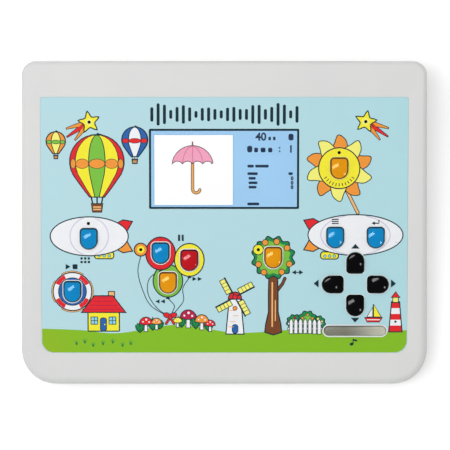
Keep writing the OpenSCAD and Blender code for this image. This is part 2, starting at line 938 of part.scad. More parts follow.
// Bent spring leaves at both ends of the cells
module battery_contacts() {
  half = door_l / 2 - 1.3;
  leaf_t = 0.5;
  mid_h = base_h + door_t + 0.3 + cell_r;
  color(steel) for (i = [0:cell_count - 1], side = [-1, 1]) {
    x = (i - (cell_count - 1) / 2) * cell_pitch;
    translate([x, battery_mid + side * (half - leaf_t / 2), mid_h]) {
      block([9, leaf_t, 10], [0, 0, -5]);
      rotate([side * 90, 0, 0]) mirror([0, 0, 1]) {
        translate([0, 0, -half + cell_len / 2 + leaf_t / 2 + 0.15]) {
          cylinder(r1 = 1.5, r2 = 3, h = half - cell_len / 2 - leaf_t / 2 - 0.15);
        }
      }
    }
  }
}

top_case();
bottom_case();
front_overlay();
display_window();
display_gasket();
display_bezel();
display_glass();
display_backlight();
display_ribbon();
one_key("key_group");  // key_group
one_key("key_start_stop");  // key_start_stop
one_key("key_pause");  // key_pause
one_key("key_forward");  // key_forward
one_key("key_rewind");  // key_rewind
one_key("key_left_right");  // key_left_right
one_key("key_audiometer");  // key_audiometer
one_key("key_menu");  // key_menu
one_key("key_enter");  // key_enter
one_key("key_up");  // key_up
one_key("key_left");  // key_left
one_key("key_right");  // key_right
one_key("key_down");  // key_down
tone_bar();
keypad_mat();
keypad_board();
light_pipes();
indicator_leds();
keypad_ribbon();
main_board();
processor_chips();
output_transformers();
relays();
capacitors();
board_headers();
board_screws();
case_screws();
rubber_feet();
rear_panel();
phone_jack(left_jack_x);  // left_phone_jack
phone_jack(right_jack_x);  // right_phone_jack
phone_jack(response_x);  // response_jack
jack_nuts();
power_inlet();
usb_socket();
power_switch();
power_rocker();
battery_door();
battery_cells();
battery_contacts();
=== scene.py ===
# %% [markdown]
# # A desk-top audiometer for children
# The real object is a wedge-shaped housing with a printed sky-and-meadow panel, thirteen glossy
# keys, a tone bar and a colour display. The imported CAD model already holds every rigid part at
# its real size, so this lesson gives each part its finish and models what the CAD leaves plain:
# the keys' soft shoulders, the print on the panel and the picture on the display.

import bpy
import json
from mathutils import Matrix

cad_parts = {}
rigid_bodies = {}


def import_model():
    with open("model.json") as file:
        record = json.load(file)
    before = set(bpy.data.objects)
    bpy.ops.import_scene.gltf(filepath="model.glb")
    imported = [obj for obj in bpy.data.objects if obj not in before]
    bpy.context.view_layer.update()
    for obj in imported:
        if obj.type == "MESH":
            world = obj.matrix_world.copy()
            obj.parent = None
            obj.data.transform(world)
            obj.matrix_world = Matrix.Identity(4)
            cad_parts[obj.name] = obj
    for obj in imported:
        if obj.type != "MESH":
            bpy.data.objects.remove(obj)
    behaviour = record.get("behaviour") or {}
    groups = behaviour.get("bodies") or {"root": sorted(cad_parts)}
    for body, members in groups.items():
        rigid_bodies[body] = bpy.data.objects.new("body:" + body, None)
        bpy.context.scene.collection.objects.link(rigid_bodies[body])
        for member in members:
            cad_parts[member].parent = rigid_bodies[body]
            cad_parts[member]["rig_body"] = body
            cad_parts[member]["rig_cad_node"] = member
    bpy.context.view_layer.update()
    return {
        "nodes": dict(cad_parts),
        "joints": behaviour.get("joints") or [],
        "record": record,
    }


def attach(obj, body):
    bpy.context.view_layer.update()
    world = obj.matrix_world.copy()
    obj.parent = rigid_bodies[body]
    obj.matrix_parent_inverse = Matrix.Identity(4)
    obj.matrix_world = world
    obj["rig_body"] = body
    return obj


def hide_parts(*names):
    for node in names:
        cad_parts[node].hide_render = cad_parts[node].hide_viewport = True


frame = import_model()

# %% The modules and the unit
import json
import math

import bmesh
import bpy
from mathutils import Matrix, Vector

MM = 0.001
scene = bpy.context.scene

# %% [markdown]
# ## The camera
# The photograph looks straight down from about 2.5 m, so the sloping panel keeps nearly
# parallel sides. A long lens far away draws that; a short lens close by would spread the front
# corners. The lens is worked out from the photograph's scale in pixels.

# %% Camera
FRAME_PX = 450
SENSOR_MM = 36.0
CAMERA_HEIGHT = 2.5
MM_PER_PX = 0.6665                    # on the level of the panel's middle
MIDDLE_LEVEL = 20 * MM

pixels_per_radian = (CAMERA_HEIGHT - MIDDLE_LEVEL) / (MM_PER_PX * MM)
camera_data = bpy.data.cameras.new("camera")
camera_data.sensor_width = SENSOR_MM
camera_data.lens = pixels_per_radian * SENSOR_MM / FRAME_PX
camera_data.clip_end = 50
camera = bpy.data.objects.new("camera", camera_data)
camera.location = (0.4 * MM, -1.7 * MM, CAMERA_HEIGHT)
scene.collection.objects.link(camera)
scene.camera = camera
print("lens, mm:", round(camera_data.lens, 1))

# %% [markdown]
# ## Small helpers
# An operator works on whatever is selected, and loading the model leaves all of it selected.
# So each step first clears the selection and then picks its own object.

# %% Selection and clean-up
def pick(piece):
    """Makes one object the only selected and the active one."""
    bpy.ops.object.select_all(action="DESELECT")
    piece.select_set(True)
    bpy.context.view_layer.objects.active = piece


def apply_all(piece, *modifiers):
    """Applies the modifiers, in the order given."""
    pick(piece)
    for modifier in modifiers:
        bpy.ops.object.modifier_apply(modifier=modifier.name)


def copy_of(piece, name):
    """A copy of a piece with a mesh of its own."""
    twin = piece.copy()
    twin.data = piece.data.copy()
    twin.name = name
    scene.collection.objects.link(twin)
    return twin


def settle(piece, name, body, slot, *replaced):
    """Names a finished piece, lets it ride on its body and takes over CAD nodes."""
    piece.name = name
    piece.data.name = name
    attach(piece, body)
    if replaced:
        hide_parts(*replaced)
    return piece


# %% [markdown]
# ## Colours and nodes
# A designer names colours as they look on a screen, in sRGB. Shader sockets want linear light,
# so one function turns the first into the second.

# %% Colour and node helpers
NOISE_LOW, NOISE_HIGH = 0.3, 0.7      # nearly all of a noise lies between these two


def linear(hex_code):
    """The linear red, green, blue and alpha of an sRGB hex colour."""
    channels = [int(hex_code[i:i + 2], 16) / 255 for i in (1, 3, 5)]
    bent = [c / 12.92 if c <= 0.04045 else ((c + 0.055) / 1.055) ** 2.4 for c in channels]
    return (*bent, 1.0)


def add_node(tree, kind, links=None, values=None, **settings):
    """Adds one node with its settings, its sockets' values and the links into them."""
    node = tree.nodes.new(kind)
    for name, value in settings.items():
        setattr(node, name, value)
    for socket, value in (values or {}).items():
        node.inputs[socket].default_value = value
    for socket, source in (links or {}).items():
        tree.links.new(source, node.inputs[socket])
    return node


def new_finish(name, values):
    """A material whose Principled shader has these values all over."""
    material = bpy.data.materials.new(name)
    material.use_nodes = True
    shader = material.node_tree.nodes["Principled BSDF"]
    for socket, value in values.items():
        shader.inputs[socket].default_value = value
    return material, material.node_tree, shader


def place_of(tree):
    """The point on the surface, in metres, in the object's own axes."""
    return add_node(tree, "ShaderNodeTexCoord").outputs["Object"]


def noise_of(tree, size, detail, roughness=0.5):
    """A noise over the surface whose patches have the given size, in metres."""
    noise = add_node(tree, "ShaderNodeTexNoise", {"Vector": place_of(tree)},
                     {"Scale": 1 / size, "Detail": detail, "Roughness": roughness})
    return noise.outputs["Fac"]


def lines_of(tree, scale, detail):
    """A noise drawn out along an axis, like the lines that a tool or a brush leaves."""
    stretch = add_node(tree, "ShaderNodeMapping", {"Vector": place_of(tree)}, {"Scale": scale})
    noise = add_node(tree, "ShaderNodeTexNoise", {"Vector": stretch.outputs["Vector"]},
                     {"Scale": 1.0, "Detail": detail})
    return noise.outputs["Fac"]


def spread_of(tree, value, low, high, start=NOISE_LOW, end=NOISE_HIGH):
    """What runs from start to end, stretched so that it runs from low to high."""
    spread = add_node(tree, "ShaderNodeMapRange", {"Value": value},
                      {"From Min": start, "From Max": end, "To Min": low, "To Max": high})
    return spread.outputs["Result"]


def ramp_of(tree, value, stops, interpolation="LINEAR"):
    """The colour on a ramp, whose stops are pairs of a position and an sRGB colour."""
    ramp = add_node(tree, "ShaderNodeValToRGB", {"Fac": value})
    ramp.color_ramp.interpolation = interpolation
    elements = ramp.color_ramp.elements
    elements.remove(elements[1])
    elements[0].position = stops[0][0]
    elements[0].color = linear(stops[0][1])
    for position, hex_code in stops[1:]:
        elements.new(position).color = linear(hex_code)
    return ramp.outputs["Color"]


def shade_into(socket, tree, colour, noise, low, high):
    """Links a colour into a socket, darker and lighter by a factor that follows a noise."""
    shaded = add_node(tree, "ShaderNodeVectorMath", {1: spread_of(tree, noise, low, high)},
                      operation="MULTIPLY")
    if isinstance(colour, Vector):
        shaded.inputs[0].default_value = colour
    else:
        tree.links.new(colour, shaded.inputs[0])
    tree.links.new(shaded.outputs["Vector"], socket)


def emboss(tree, shader, height, depth):
    """A bump of this depth, in metres, that follows a height."""
    bump = add_node(tree, "ShaderNodeBump", {"Height": height},
                    {"Distance": depth, "Strength": 1.0})
    tree.links.new(bump.outputs["Normal"], shader.inputs["Normal"])


def mottle(tree, shader, dark, light, size):
    """Varies the base colour between two near shades, in patches of the given size."""
    colour = ramp_of(tree, noise_of(tree, size, 3.0, 0.55),
                     [(NOISE_LOW, dark), (NOISE_HIGH, light)])
    tree.links.new(colour, shader.inputs["Base Color"])


def grain(tree, shader, size, depth, detail=2.0):
    """A bump whose grains are size across and depth high, both in metres."""
    emboss(tree, shader, noise_of(tree, size, detail, 0.6), depth)


def worn(tree, shader, smooth, rough, size):
    """Varies the roughness between two values, as handling does, in patches of this size."""
    roughness = spread_of(tree, noise_of(tree, size, 4.0, 0.6), smooth, rough)
    tree.links.new(roughness, shader.inputs["Roughness"])


# %% [markdown]
# ## Moulded plastics
# ABS housings come from a mould whose steel is spark-eroded, which leaves a fine, even grain
# and a soft sheen. The real grain is about 0.1 mm, finer than a pixel of this view, so it is
# drawn at 0.9 mm, as coarse as it needs to be to show. All the moulded parts share one recipe
# and differ in colour, grain and gloss.

# %% Moulded plastics
def moulded_plastic(name, dark, light, smooth, rough, grain_size=0.9 * MM, grain_depth=0.012 * MM):
    """Moulded thermoplastic with an eroded grain."""
    material, tree, shader = new_finish(name, {"IOR": 1.53, "Roughness": rough})
    mottle(tree, shader, dark, light, 45 * MM)
    grain(tree, shader, grain_size, grain_depth)
    worn(tree, shader, smooth, rough, 30 * MM)
    return material


housing_abs = moulded_plastic("moulded_grey_abs", "#D9DAD9", "#DDDEDC", 0.42, 0.5)
black_abs = moulded_plastic("moulded_black_abs", "#17181A", "#1E1F21", 0.38, 0.5)
gloss_black = moulded_plastic("polished_black_polycarbonate", "#0E0E10", "#131315", 0.14, 0.2,
                              3 * MM, 0.004 * MM)
chip_epoxy = moulded_plastic("moulded_chip_epoxy", "#121214", "#19191B", 0.5, 0.6)
relay_nylon = moulded_plastic("moulded_ivory_nylon", "#DAD6CB", "#E2DFD6", 0.4, 0.5)
header_nylon = moulded_plastic("moulded_natural_nylon", "#E2E0D8", "#EAE8E0", 0.4, 0.5)
light_guide = moulded_plastic("moulded_white_light_guide", "#EBEBE6", "#F2F2EE", 0.3, 0.4)
ribbon_pvc = moulded_plastic("extruded_grey_pvc", "#A9ACB0", "#B3B6BA", 0.45, 0.55)
capacitor_sleeve = moulded_plastic("shrunk_blue_pet_sleeve", "#22375F", "#2A4270", 0.3, 0.4)
print("plastics:", len(bpy.data.materials))

# %% [markdown]
# ## Rubber and silicone
# Feet, gasket and keypad mat are cast elastomers: hardly any gloss, a dusty grain.

# %% Elastomers
def elastomer(name, dark, light, pore):
    """Cast rubber: dull, with fine pores."""
    material, tree, shader = new_finish(name, {"IOR": 1.43, "Roughness": 0.8,
                                               "Specular IOR Level": 0.3})
    mottle(tree, shader, dark, light, 9 * MM)
    grain(tree, shader, pore, 0.03 * MM, 4.0)
    return material


foot_rubber = elastomer("cast_black_rubber", "#1B1B1D", "#29292B", 0.8 * MM)
gasket_foam = elastomer("black_polyurethane_foam", "#161617", "#262628", 0.5 * MM)
mat_silicone = elastomer("cast_grey_silicone", "#83888C", "#92979B", 1.2 * MM)

# %% [markdown]
# ## Metals
# Nickel plate on the jack nuts and sockets is bright with a faint warm tone; zinc plate on the
# screws is duller and bluish. Turned or drawn parts carry fine lines, made here by a noise that
# is stretched along one axis.

# %% Plated metals
def plated_metal(name, dark, light, smooth, rough, line=0.25 * MM):
    """Plated metal with the lines of its last tool pass."""
    material, tree, shader = new_finish(name, {"Metallic": 1.0, "Roughness": rough})
    mottle(tree, shader, dark, light, 12 * MM)
    worn(tree, shader, smooth, rough, 6 * MM)
    lines = lines_of(tree, (1 / line, 1 / line, 0.03 / line), 1.0)
    emboss(tree, shader, lines, 0.01 * MM)
    return material


nickel = plated_metal("nickel_plated_brass", "#BDB9B0", "#CFCBC3", 0.2, 0.32)
zinc = plated_metal("zinc_plated_steel", "#A9ADB2", "#BFC3C8", 0.3, 0.45)
core_steel = plated_metal("laminated_core_steel", "#4A4C4E", "#5C5E60", 0.4, 0.55, 0.5 * MM)

# %% [markdown]
# ## Boards, cells and clear parts
# A circuit board is glass epoxy under a green lacquer, with copper tracks that show through it
# as a paler green. A brick pattern gives the tracks at a pitch of 2.5 mm.

# %% Circuit board lacquer
def board_lacquer():
    """Glass epoxy under green solder lacquer."""
    material, tree, shader = new_finish("green_lacquered_glass_epoxy", {"IOR": 1.52,
                                                                      "Roughness": 0.3})
    tracks = add_node(tree, "ShaderNodeTexBrick", {"Vector": place_of(tree)},
                      {"Scale": 1 / (10 * MM), "Mortar Size": 0.03, "Brick Width": 1.1,
                       "Row Height": 0.25, "Color1": linear("#17563A"),
                       "Color2": linear("#1B6142"), "Mortar": linear("#2B8158")})
    tree.links.new(tracks.outputs["Color"], shader.inputs["Base Color"])
    grain(tree, shader, 0.6 * MM, 0.008 * MM)
    return material


def clear_plastic(name, tint, roughness, clearness):
    """A clear moulding: cast acrylic with a polished face."""
    material, tree, shader = new_finish(name, {"IOR": 1.49, "Roughness": roughness,
                                               "Base Color": linear(tint),
                                               "Transmission Weight": clearness})
    grain(tree, shader, 25 * MM, 0.004 * MM, 1.0)
    return material


def clear_epoxy(name, tint, light):
    """The lens of a small lamp that is off."""
    material, tree, shader = new_finish(name, {"IOR": 1.5, "Roughness": 0.25})
    mottle(tree, shader, tint, light, 0.8 * MM)
    return material


def cell_sleeve():
    """A cell's printed foil sleeve: blue, with a pale band at one end."""
    material, tree, shader = new_finish("printed_cell_sleeve", {"IOR": 1.5, "Roughness": 0.3})
    axes = add_node(tree, "ShaderNodeSeparateXYZ", {"Vector": place_of(tree)})
    along = spread_of(tree, axes.outputs["Y"], 0, 1, -56 * MM, -6 * MM)
    bands = ramp_of(tree, along, [(0, "#2B4F8C"), (0.72, "#C7CCD2")], "CONSTANT")
    tree.links.new(bands, shader.inputs["Base Color"])
    grain(tree, shader, 3 * MM, 0.01 * MM)
    return material


board_green = board_lacquer()
window_acrylic = clear_plastic("cast_acrylic_window", "#FFFFFF", 0.02, 1.0)
smoked_acrylic = clear_plastic("smoked_acrylic", "#101214", 0.08, 0.35)
amber_flex = clear_plastic("amber_polyimide_film", "#B0701E", 0.2, 0.3)
lamp_lens = clear_epoxy("clear_lamp_epoxy", "#C4D0BC", "#E4ECDD")
cell_foil = cell_sleeve()

# %% [markdown]
# The display cell is a sheet of glass with a dark frame of printed chrome round its picture.

# %% Display cell glass
lcd_glass, lcd_tree, lcd_shader = new_finish("display_cell_glass", {"IOR": 1.52,
                                                                    "Roughness": 0.12})
mottle(lcd_tree, lcd_shader, "#20262E", "#2A323C", 8 * MM)

# %% [markdown]
# ## The panel's own axes
# The panel slopes, so its print and keys are easiest to place in axes that lie in it: u to the
# right, v up the slope and w out of it. The slope is read from the key's joint, and the level
# from the overlay's top, so both follow the CAD model.

# %% Panel axes
press_axis = Vector(next(j["axis"] for j in frame["joints"] if j["name"] == "key_group_press"))
slope = math.atan2(press_axis.y, -press_axis.z)
overlay_mesh = frame["nodes"]["front_overlay"].data
panel_level = max(v.co.z * math.cos(slope) - v.co.y * math.sin(slope) for v in overlay_mesh.vertices)
panel_to_world = (Matrix.Translation((0, 0, panel_level / math.cos(slope)))
                  @ Matrix.Rotation(slope, 4, "X"))
world_to_panel = panel_to_world.inverted()


def panel_box(node):
    """A node's lowest and highest corner in the panel's axes, in millimetres."""
    points = [world_to_panel @ v.co / MM for v in frame["nodes"][node].data.vertices]
    low = Vector([min(p[i] for p in points) for i in range(3)])
    high = Vector([max(p[i] for p in points) for i in range(3)])
    return low, high


print("slope, degrees:", round(math.degrees(slope), 2))
print("overlay, mm:", [round(x, 1) for corner in panel_box("front_overlay") for x in corner])

# %% [markdown]
# ## The printed foil
# The overlay is a polyester foil with a fine matt coat. Its sky is printed as a tint that drifts
# a little from side to side. A ramp along the object's X axis gives the drift, and a faint
# mottle breaks it up, as a halftone screen does.

# %% Sky print
MATT_SHEEN = 0.15                     # the coat scatters most of what it would mirror


def matt_print(name):
    """A print with a matt coat; what calls it links the colour."""
    material, tree, shader = new_finish(name, {"Roughness": 0.42,
                                               "Specular IOR Level": MATT_SHEEN})
    grain(tree, shader, 0.7 * MM, 0.006 * MM)
    return material, tree, shader


def printed_sky():
    """Polyester foil, printed sky blue behind a matt coat."""
    material, tree, shader = matt_print("sky_printed_polyester")
    axes = add_node(tree, "ShaderNodeSeparateXYZ", {"Vector": place_of(tree)})
    across = spread_of(tree, axes.outputs["X"], 0, 1, -121 * MM, 121 * MM)
    drift = ramp_of(tree, across, [(0, "#B9DBE3"), (0.5, "#B6DAE2"), (1, "#B0DAE1")])
    patches = spread_of(tree, noise_of(tree, 14 * MM, 4.0), 0, 0.5)
    blend = add_node(tree, "ShaderNodeMix", {0: patches, 6: drift}, {7: linear("#B4DDE3")},
                     data_type="RGBA")
    tree.links.new(blend.outputs[2], shader.inputs["Base Color"])
    return material


sky_foil = printed_sky()

# %% [markdown]
# ## Lights, floor and room
# The photograph was taken under soft, even light with one window-like lamp above and a little
# to the left; that lamp is the bright streak on every key, and it slants because the lamp's long
# side runs from the near left to the far right. A wide soft light at the left makes the housing
# a little lighter there than at the right, and a small lamp at the near right puts a dot on the
# black keys. The room's walls are white and its ceiling is not lit, so dark keys stay dark seen
# from above. The floor and the walls show as pure white to the camera, while the light that
# falls on the object stays at a plain level.

# %% Lamps
FILL_LEVEL = 0.60
AIM = Vector((0, 0, 0.04))


def soft_lamp(name, place, size, radiance, long_side=(1, 0, 0), in_gloss=True, in_diffuse=True):
    """A rectangular lamp that faces the object, its long side turned along the given way."""
    data = bpy.data.lights.new(name, "AREA")
    data.shape = "RECTANGLE"
    data.size, data.size_y = size
    data.energy = radiance * math.pi * size[0] * size[1]
    lamp = bpy.data.objects.new(name, data)
    back = (Vector(place) - AIM).normalized()
    right = (Vector(long_side) - back * back.dot(Vector(long_side))).normalized()
    turned = Matrix((right, back.cross(right), back)).transposed().to_4x4()
    lamp.matrix_world = Matrix.Translation(place) @ turned
    lamp.visible_camera = False
    lamp.visible_glossy = in_gloss
    lamp.visible_diffuse = in_diffuse
    scene.collection.objects.link(lamp)
    return lamp


soft_lamp("window_lamp", (-0.30, -0.02, 1.9), (0.74, 0.30), 10.0, (1, 0.6, 0))
soft_lamp("side_light", (-0.85, 0.35, 1.65), (1.4, 1.4), 1.6, in_gloss=False)
soft_lamp("dot_lamp", (0.76, -0.95, 1.9), (0.14, 0.2), 14.0, in_diffuse=False)

# %% World: white walls, unlit ceiling
WALL_FOOT = 0.04                      # the walls fade between these two heights, each the sine
WALL_TOP = 0.34                       # of the angle above the horizon
CEILING = 0.10                        # what is mirrored of the ceiling, as a share of the walls

world = bpy.data.worlds.new("studio")
scene.world = world
world.use_nodes = True
world_tree = world.node_tree
world_tree.nodes.clear()
ray = add_node(world_tree, "ShaderNodeLightPath")
direction = add_node(world_tree, "ShaderNodeTexCoord")
height = add_node(world_tree, "ShaderNodeSeparateXYZ", {"Vector": direction.outputs["Generated"]})
walls = spread_of(world_tree, height.outputs["Z"], 1, CEILING, WALL_FOOT, WALL_TOP)
seen = add_node(world_tree, "ShaderNodeMath", {0: ray.outputs["Is Glossy Ray"],
                                               1: ray.outputs["Is Transmission Ray"]},
                operation="MAXIMUM")
level = add_node(world_tree, "ShaderNodeMix", {0: seen.outputs[0], 3: walls}, {2: FILL_LEVEL})
brightness = add_node(world_tree, "ShaderNodeMix", {0: ray.outputs["Is Camera Ray"],
                                                    2: level.outputs[0]}, {3: 1.0})
room = add_node(world_tree, "ShaderNodeBackground", {"Strength": brightness.outputs[0]},
                {"Color": (1, 1, 1, 1)})
add_node(world_tree, "ShaderNodeOutputWorld", {"Surface": room.outputs[0]})

# %% Floor
CAMERA_LIFT = 0.30                    # added for the camera alone, so that lit paper shows white

bpy.ops.object.select_all(action="DESELECT")
bpy.ops.mesh.primitive_plane_add(size=8)
floor = bpy.context.active_object
floor.name = "floor"
floor_paper, floor_tree, floor_shader = new_finish("white_paper", {"Roughness": 0.9,
                                                                   "Specular IOR Level": 0.0})
floor_shader.inputs["Base Color"].default_value = linear("#F2F2F2")
floor_shader.inputs["Emission Color"].default_value = (1, 1, 1, 1)
floor_ray = add_node(floor_tree, "ShaderNodeLightPath")
lift = add_node(floor_tree, "ShaderNodeMath", {0: floor_ray.outputs["Is Camera Ray"]},
                {1: CAMERA_LIFT}, operation="MULTIPLY")
floor_tree.links.new(lift.outputs[0], floor_shader.inputs["Emission Strength"])
floor.data.materials.append(floor_paper)

scene.view_settings.view_transform = "Standard"

# %% [markdown]
# ## Finishes on the CAD parts
# The record names a material slot for every node, so one table from slot to finish dresses all
# the parts that keep their CAD shape.

# %% Dress every CAD node
finish_of_slot = {
    "housing": housing_abs, "overlay": sky_foil, "window": window_acrylic,
    "foam": gasket_foam, "bright_steel": zinc, "display_cell": lcd_glass,
    "diffuser": light_guide, "flex": amber_flex, "silicone": mat_silicone,
    "circuit_board": board_green, "smoked": smoked_acrylic, "led": lamp_lens,
    "ribbon": ribbon_pvc, "chip": chip_epoxy, "core": core_steel,
    "relay_white": relay_nylon, "capacitor": capacitor_sleeve, "header": header_nylon,
    "foot_rubber": foot_rubber, "black_plastic": black_abs, "rocker": gloss_black,
    "cell_sleeve": cell_foil,
}
nickel_nodes = {"jack_nuts", "usb_socket", "battery_contacts"}
LATER = gloss_black                   # for the keys and the bar, which get their own finish below


def dress(piece, *materials):
    """Gives a piece these materials in place of its own."""
    piece.data.materials.clear()
    for material in materials:
        piece.data.materials.append(material)


for part in frame["record"]["subparts"]:
    finish = finish_of_slot.get(part["material_slot"], LATER)
    if part["node"] in nickel_nodes:
        finish = nickel
    dress(frame["nodes"][part["node"]], finish)

# %% [markdown]
# ## The two shells
# The CAD shells are right in shape, but they come as flat triangles, and their rolled edges
# would show as facets. A copy of each is merged into one skin, shaded smooth up to 30 degrees,
# and its normals are weighted by area, so the large flats stay flat and the rolls run smoothly
# into them.

# %% Smooth shells
SMOOTH_ANGLE = math.radians(30)
WELD = 0.002 * MM                     # corners of loose triangles closer than this are one


def smooth_skin(node, slot):
    """A smooth-shaded copy of a faceted CAD node."""
    skin = copy_of(frame["nodes"][node], node + "_moulding")
    skin.parent = None
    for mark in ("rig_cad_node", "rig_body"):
        del skin[mark]                   # the copy is a piece of its own and no CAD node
    pick(skin)
    bpy.ops.object.mode_set(mode="EDIT")
    bpy.ops.mesh.select_all(action="SELECT")
    bpy.ops.mesh.remove_doubles(threshold=WELD)
    bpy.ops.object.mode_set(mode="OBJECT")
    bpy.ops.object.shade_smooth_by_angle(angle=SMOOTH_ANGLE)
    weights = skin.modifiers.new("weights", "WEIGHTED_NORMAL")
    weights.keep_sharp = True
    apply_all(skin, weights)
    print(node, "triangles:", len(skin.data.polygons))
    return settle(skin, node + "_moulding", "housing", slot, node)


smooth_skin("top_case", "housing")
smooth_skin("bottom_case", "housing")

# %% [markdown]
# ## The keys
# Each key is an injection-moulded cap with a rolled shoulder and a domed top, D-shaped, with its
# arch towards the user. A subdivision surface would pull the outline inwards, so the cap is
# built at full fineness: a plane whose corners are bevelled to the outline and whose straight
# sides are split up, raised in steps that follow a quarter circle for the shoulder, closed with
# rings, and then sunk along a sphere whose highest point lies over the middle of the arch. It
# is modelled once, in millimetres, with its flange under the panel, and copied to every key.

# %% The key's outline
FLANGE_OUT = 0.9                      # how far the flange stands out under the panel, mm
FLANGE_TOP = -3.3                     # heights are in mm above the panel
FLANGE_THICK = 1.1
FLAT_CORNER = 2.6                     # radius of the corners at the flat end
HOLE_GAP = 0.4                        # between a key and its opening
ARCH_TURN = {"key_up": 180, "key_left": -90, "key_right": 90}

key_nodes = sorted(name for name in frame["nodes"] if name.startswith("key_"))
key_low, key_high = panel_box("key_group")
KEY_WIDTH = key_high.x - key_low.x - 2 * FLANGE_OUT
KEY_LENGTH = key_high.y - key_low.y - 2 * FLANGE_OUT
KEY_RISE = key_high.z
print("keys:", len(key_nodes), "cap, mm:", round(KEY_WIDTH, 2), "x", round(KEY_LENGTH, 2))

# %% Edit-mode helpers
STRAIGHT_FROM = 3.0                   # an outline's edge longer than this, mm, is split up,
STRAIGHT_CUTS = 7                     # so that the dome bends over its straight sides too
CLOSE_CORNERS = 0.06                  # corners of an outline closer than this, mm, are one


def select_vertices(piece, wanted):
    """Selects in edit mode the vertices for which wanted(position) holds."""
    bpy.ops.mesh.select_mode(type="VERT")
    bpy.ops.mesh.select_all(action="DESELECT")
    mesh = bmesh.from_edit_mesh(piece.data)
    for vertex in mesh.verts:
        vertex.select_set(wanted(vertex.co))
    mesh.select_flush(True)
    bmesh.update_edit_mesh(piece.data)


def rounded_plane(name, width, length, corner_near, corner_far, segments):
    """A flat n-gon whose near (-Y) and far (+Y) corners have their own radii, in edit mode."""
    bpy.ops.object.select_all(action="DESELECT")
    bpy.ops.mesh.primitive_plane_add(size=1)
    piece = bpy.context.active_object
    piece.name = name
    bpy.ops.object.mode_set(mode="EDIT")
    bpy.ops.transform.resize(value=(width, length, 1))
    for radius, side in ((corner_near, -1), (corner_far, 1)):
        flat_end = 0.499 * length
        select_vertices(piece, lambda place: place.y * side > flat_end)
        bpy.ops.mesh.bevel(offset=radius, offset_type="OFFSET", segments=segments,
                           affect="VERTICES")
    bpy.ops.mesh.select_all(action="SELECT")
    bpy.ops.mesh.remove_doubles(threshold=CLOSE_CORNERS)
    mesh = bmesh.from_edit_mesh(piece.data)
    straight = [edge for edge in mesh.edges if edge.calc_length() > STRAIGHT_FROM]
    bmesh.ops.bisect_edges(mesh, edges=straight, cuts=STRAIGHT_CUTS)
    bmesh.update_edit_mesh(piece.data)
    bpy.ops.mesh.select_all(action="SELECT")
    return piece


def raise_face(height):
    """Extrudes the selected face straight up."""
    bpy.ops.mesh.extrude_region_move(TRANSFORM_OT_translate={"value": (0, 0, height)})


def roll_shoulder(inward, upward, steps):
    """Insets the selected face along a quarter of an ellipse, like a rolled edge."""
    for step in range(steps):
        here = math.radians(90 * step / steps)
        there = math.radians(90 * (step + 1) / steps)
        bpy.ops.mesh.inset(thickness=inward * (math.cos(here) - math.cos(there)),
                           depth=upward * (math.sin(there) - math.sin(here)))


def close_with_rings(center, shares):
    """Fills the flat top with rings that shrink towards a point to these shares of its size."""
    size = 1.0
    for share in shares:
        raise_face(0)
        bpy.ops.transform.resize(value=(share / size, share / size, 1), center_override=center)
        size = share
    bpy.ops.mesh.poke()


def sink_dome(piece, top, start, radius, rim_share):
    """Stores each point's way up the shoulder as "rise", then sinks the top along a sphere."""
    mesh = bmesh.from_edit_mesh(piece.data)
    rise = mesh.verts.layers.float.new("rise")
    for vertex in mesh.verts:
        way_up = (vertex.co.z - start) / (top.z - start)
        vertex[rise] = max(way_up, 0)
        away = (vertex.co.xy - top.xy).length
        sag = radius - math.sqrt(radius ** 2 - away ** 2)
        if way_up > -0.01:
            vertex.co.z -= sag * (rim_share + (1 - rim_share) * min(way_up, 1))
    bmesh.update_edit_mesh(piece.data)


# %% Model one key cap
SHOULDER = 1.3
DOME_RADIUS = 24.0
RIM_SHARE = 0.6                       # how much of the sag the wall's rim takes
RING_SHARES = (0.97, 0.88, 0.76, 0.64, 0.52, 0.4, 0.28, 0.14)
arch_middle = (KEY_WIDTH - KEY_LENGTH) / 2
dome_top = Vector((0, arch_middle, KEY_RISE))

key_cap = rounded_plane("key_cap", KEY_WIDTH + 2 * FLANGE_OUT, KEY_LENGTH + 2 * FLANGE_OUT,
                        (KEY_WIDTH / 2 + FLANGE_OUT) - 0.02, FLAT_CORNER + FLANGE_OUT, 12)
bpy.ops.transform.translate(value=(0, 0, FLANGE_TOP - FLANGE_THICK))
raise_face(FLANGE_THICK)
bpy.ops.mesh.inset(thickness=FLANGE_OUT, depth=0)
raise_face(KEY_RISE - SHOULDER - FLANGE_TOP)
roll_shoulder(SHOULDER, SHOULDER, 8)
close_with_rings(dome_top, RING_SHARES)
sink_dome(key_cap, dome_top, KEY_RISE - SHOULDER, DOME_RADIUS, RIM_SHARE)
bpy.ops.object.mode_set(mode="OBJECT")
bpy.ops.object.shade_smooth_by_angle(angle=math.radians(40))
print("key cap faces:", len(key_cap.data.polygons))

# %% [markdown]
# A key's plastic is glossy ABS, coloured right through. Its colour follows the cap's own "rise"
# attribute, which runs from 0 at the wall's rim to 1 where the shoulder meets the dome: the wall
# and most of the shoulder carry a dark painted shade, the shoulder's top a paler painted sheen,
# and the dome the key's own colour. The streak of the lamp on a coloured key takes a little of
# its colour, which the shader's specular tint gives.

# %% Key plastics
# the rim's painted shade reaches up to the first rise, the shoulder's painted sheen lies at the
# second
RIM_SHADE_TO = 0.88                        # up to this rise the colour is deepest
SHOULDER_SHEEN_AT = 0.98


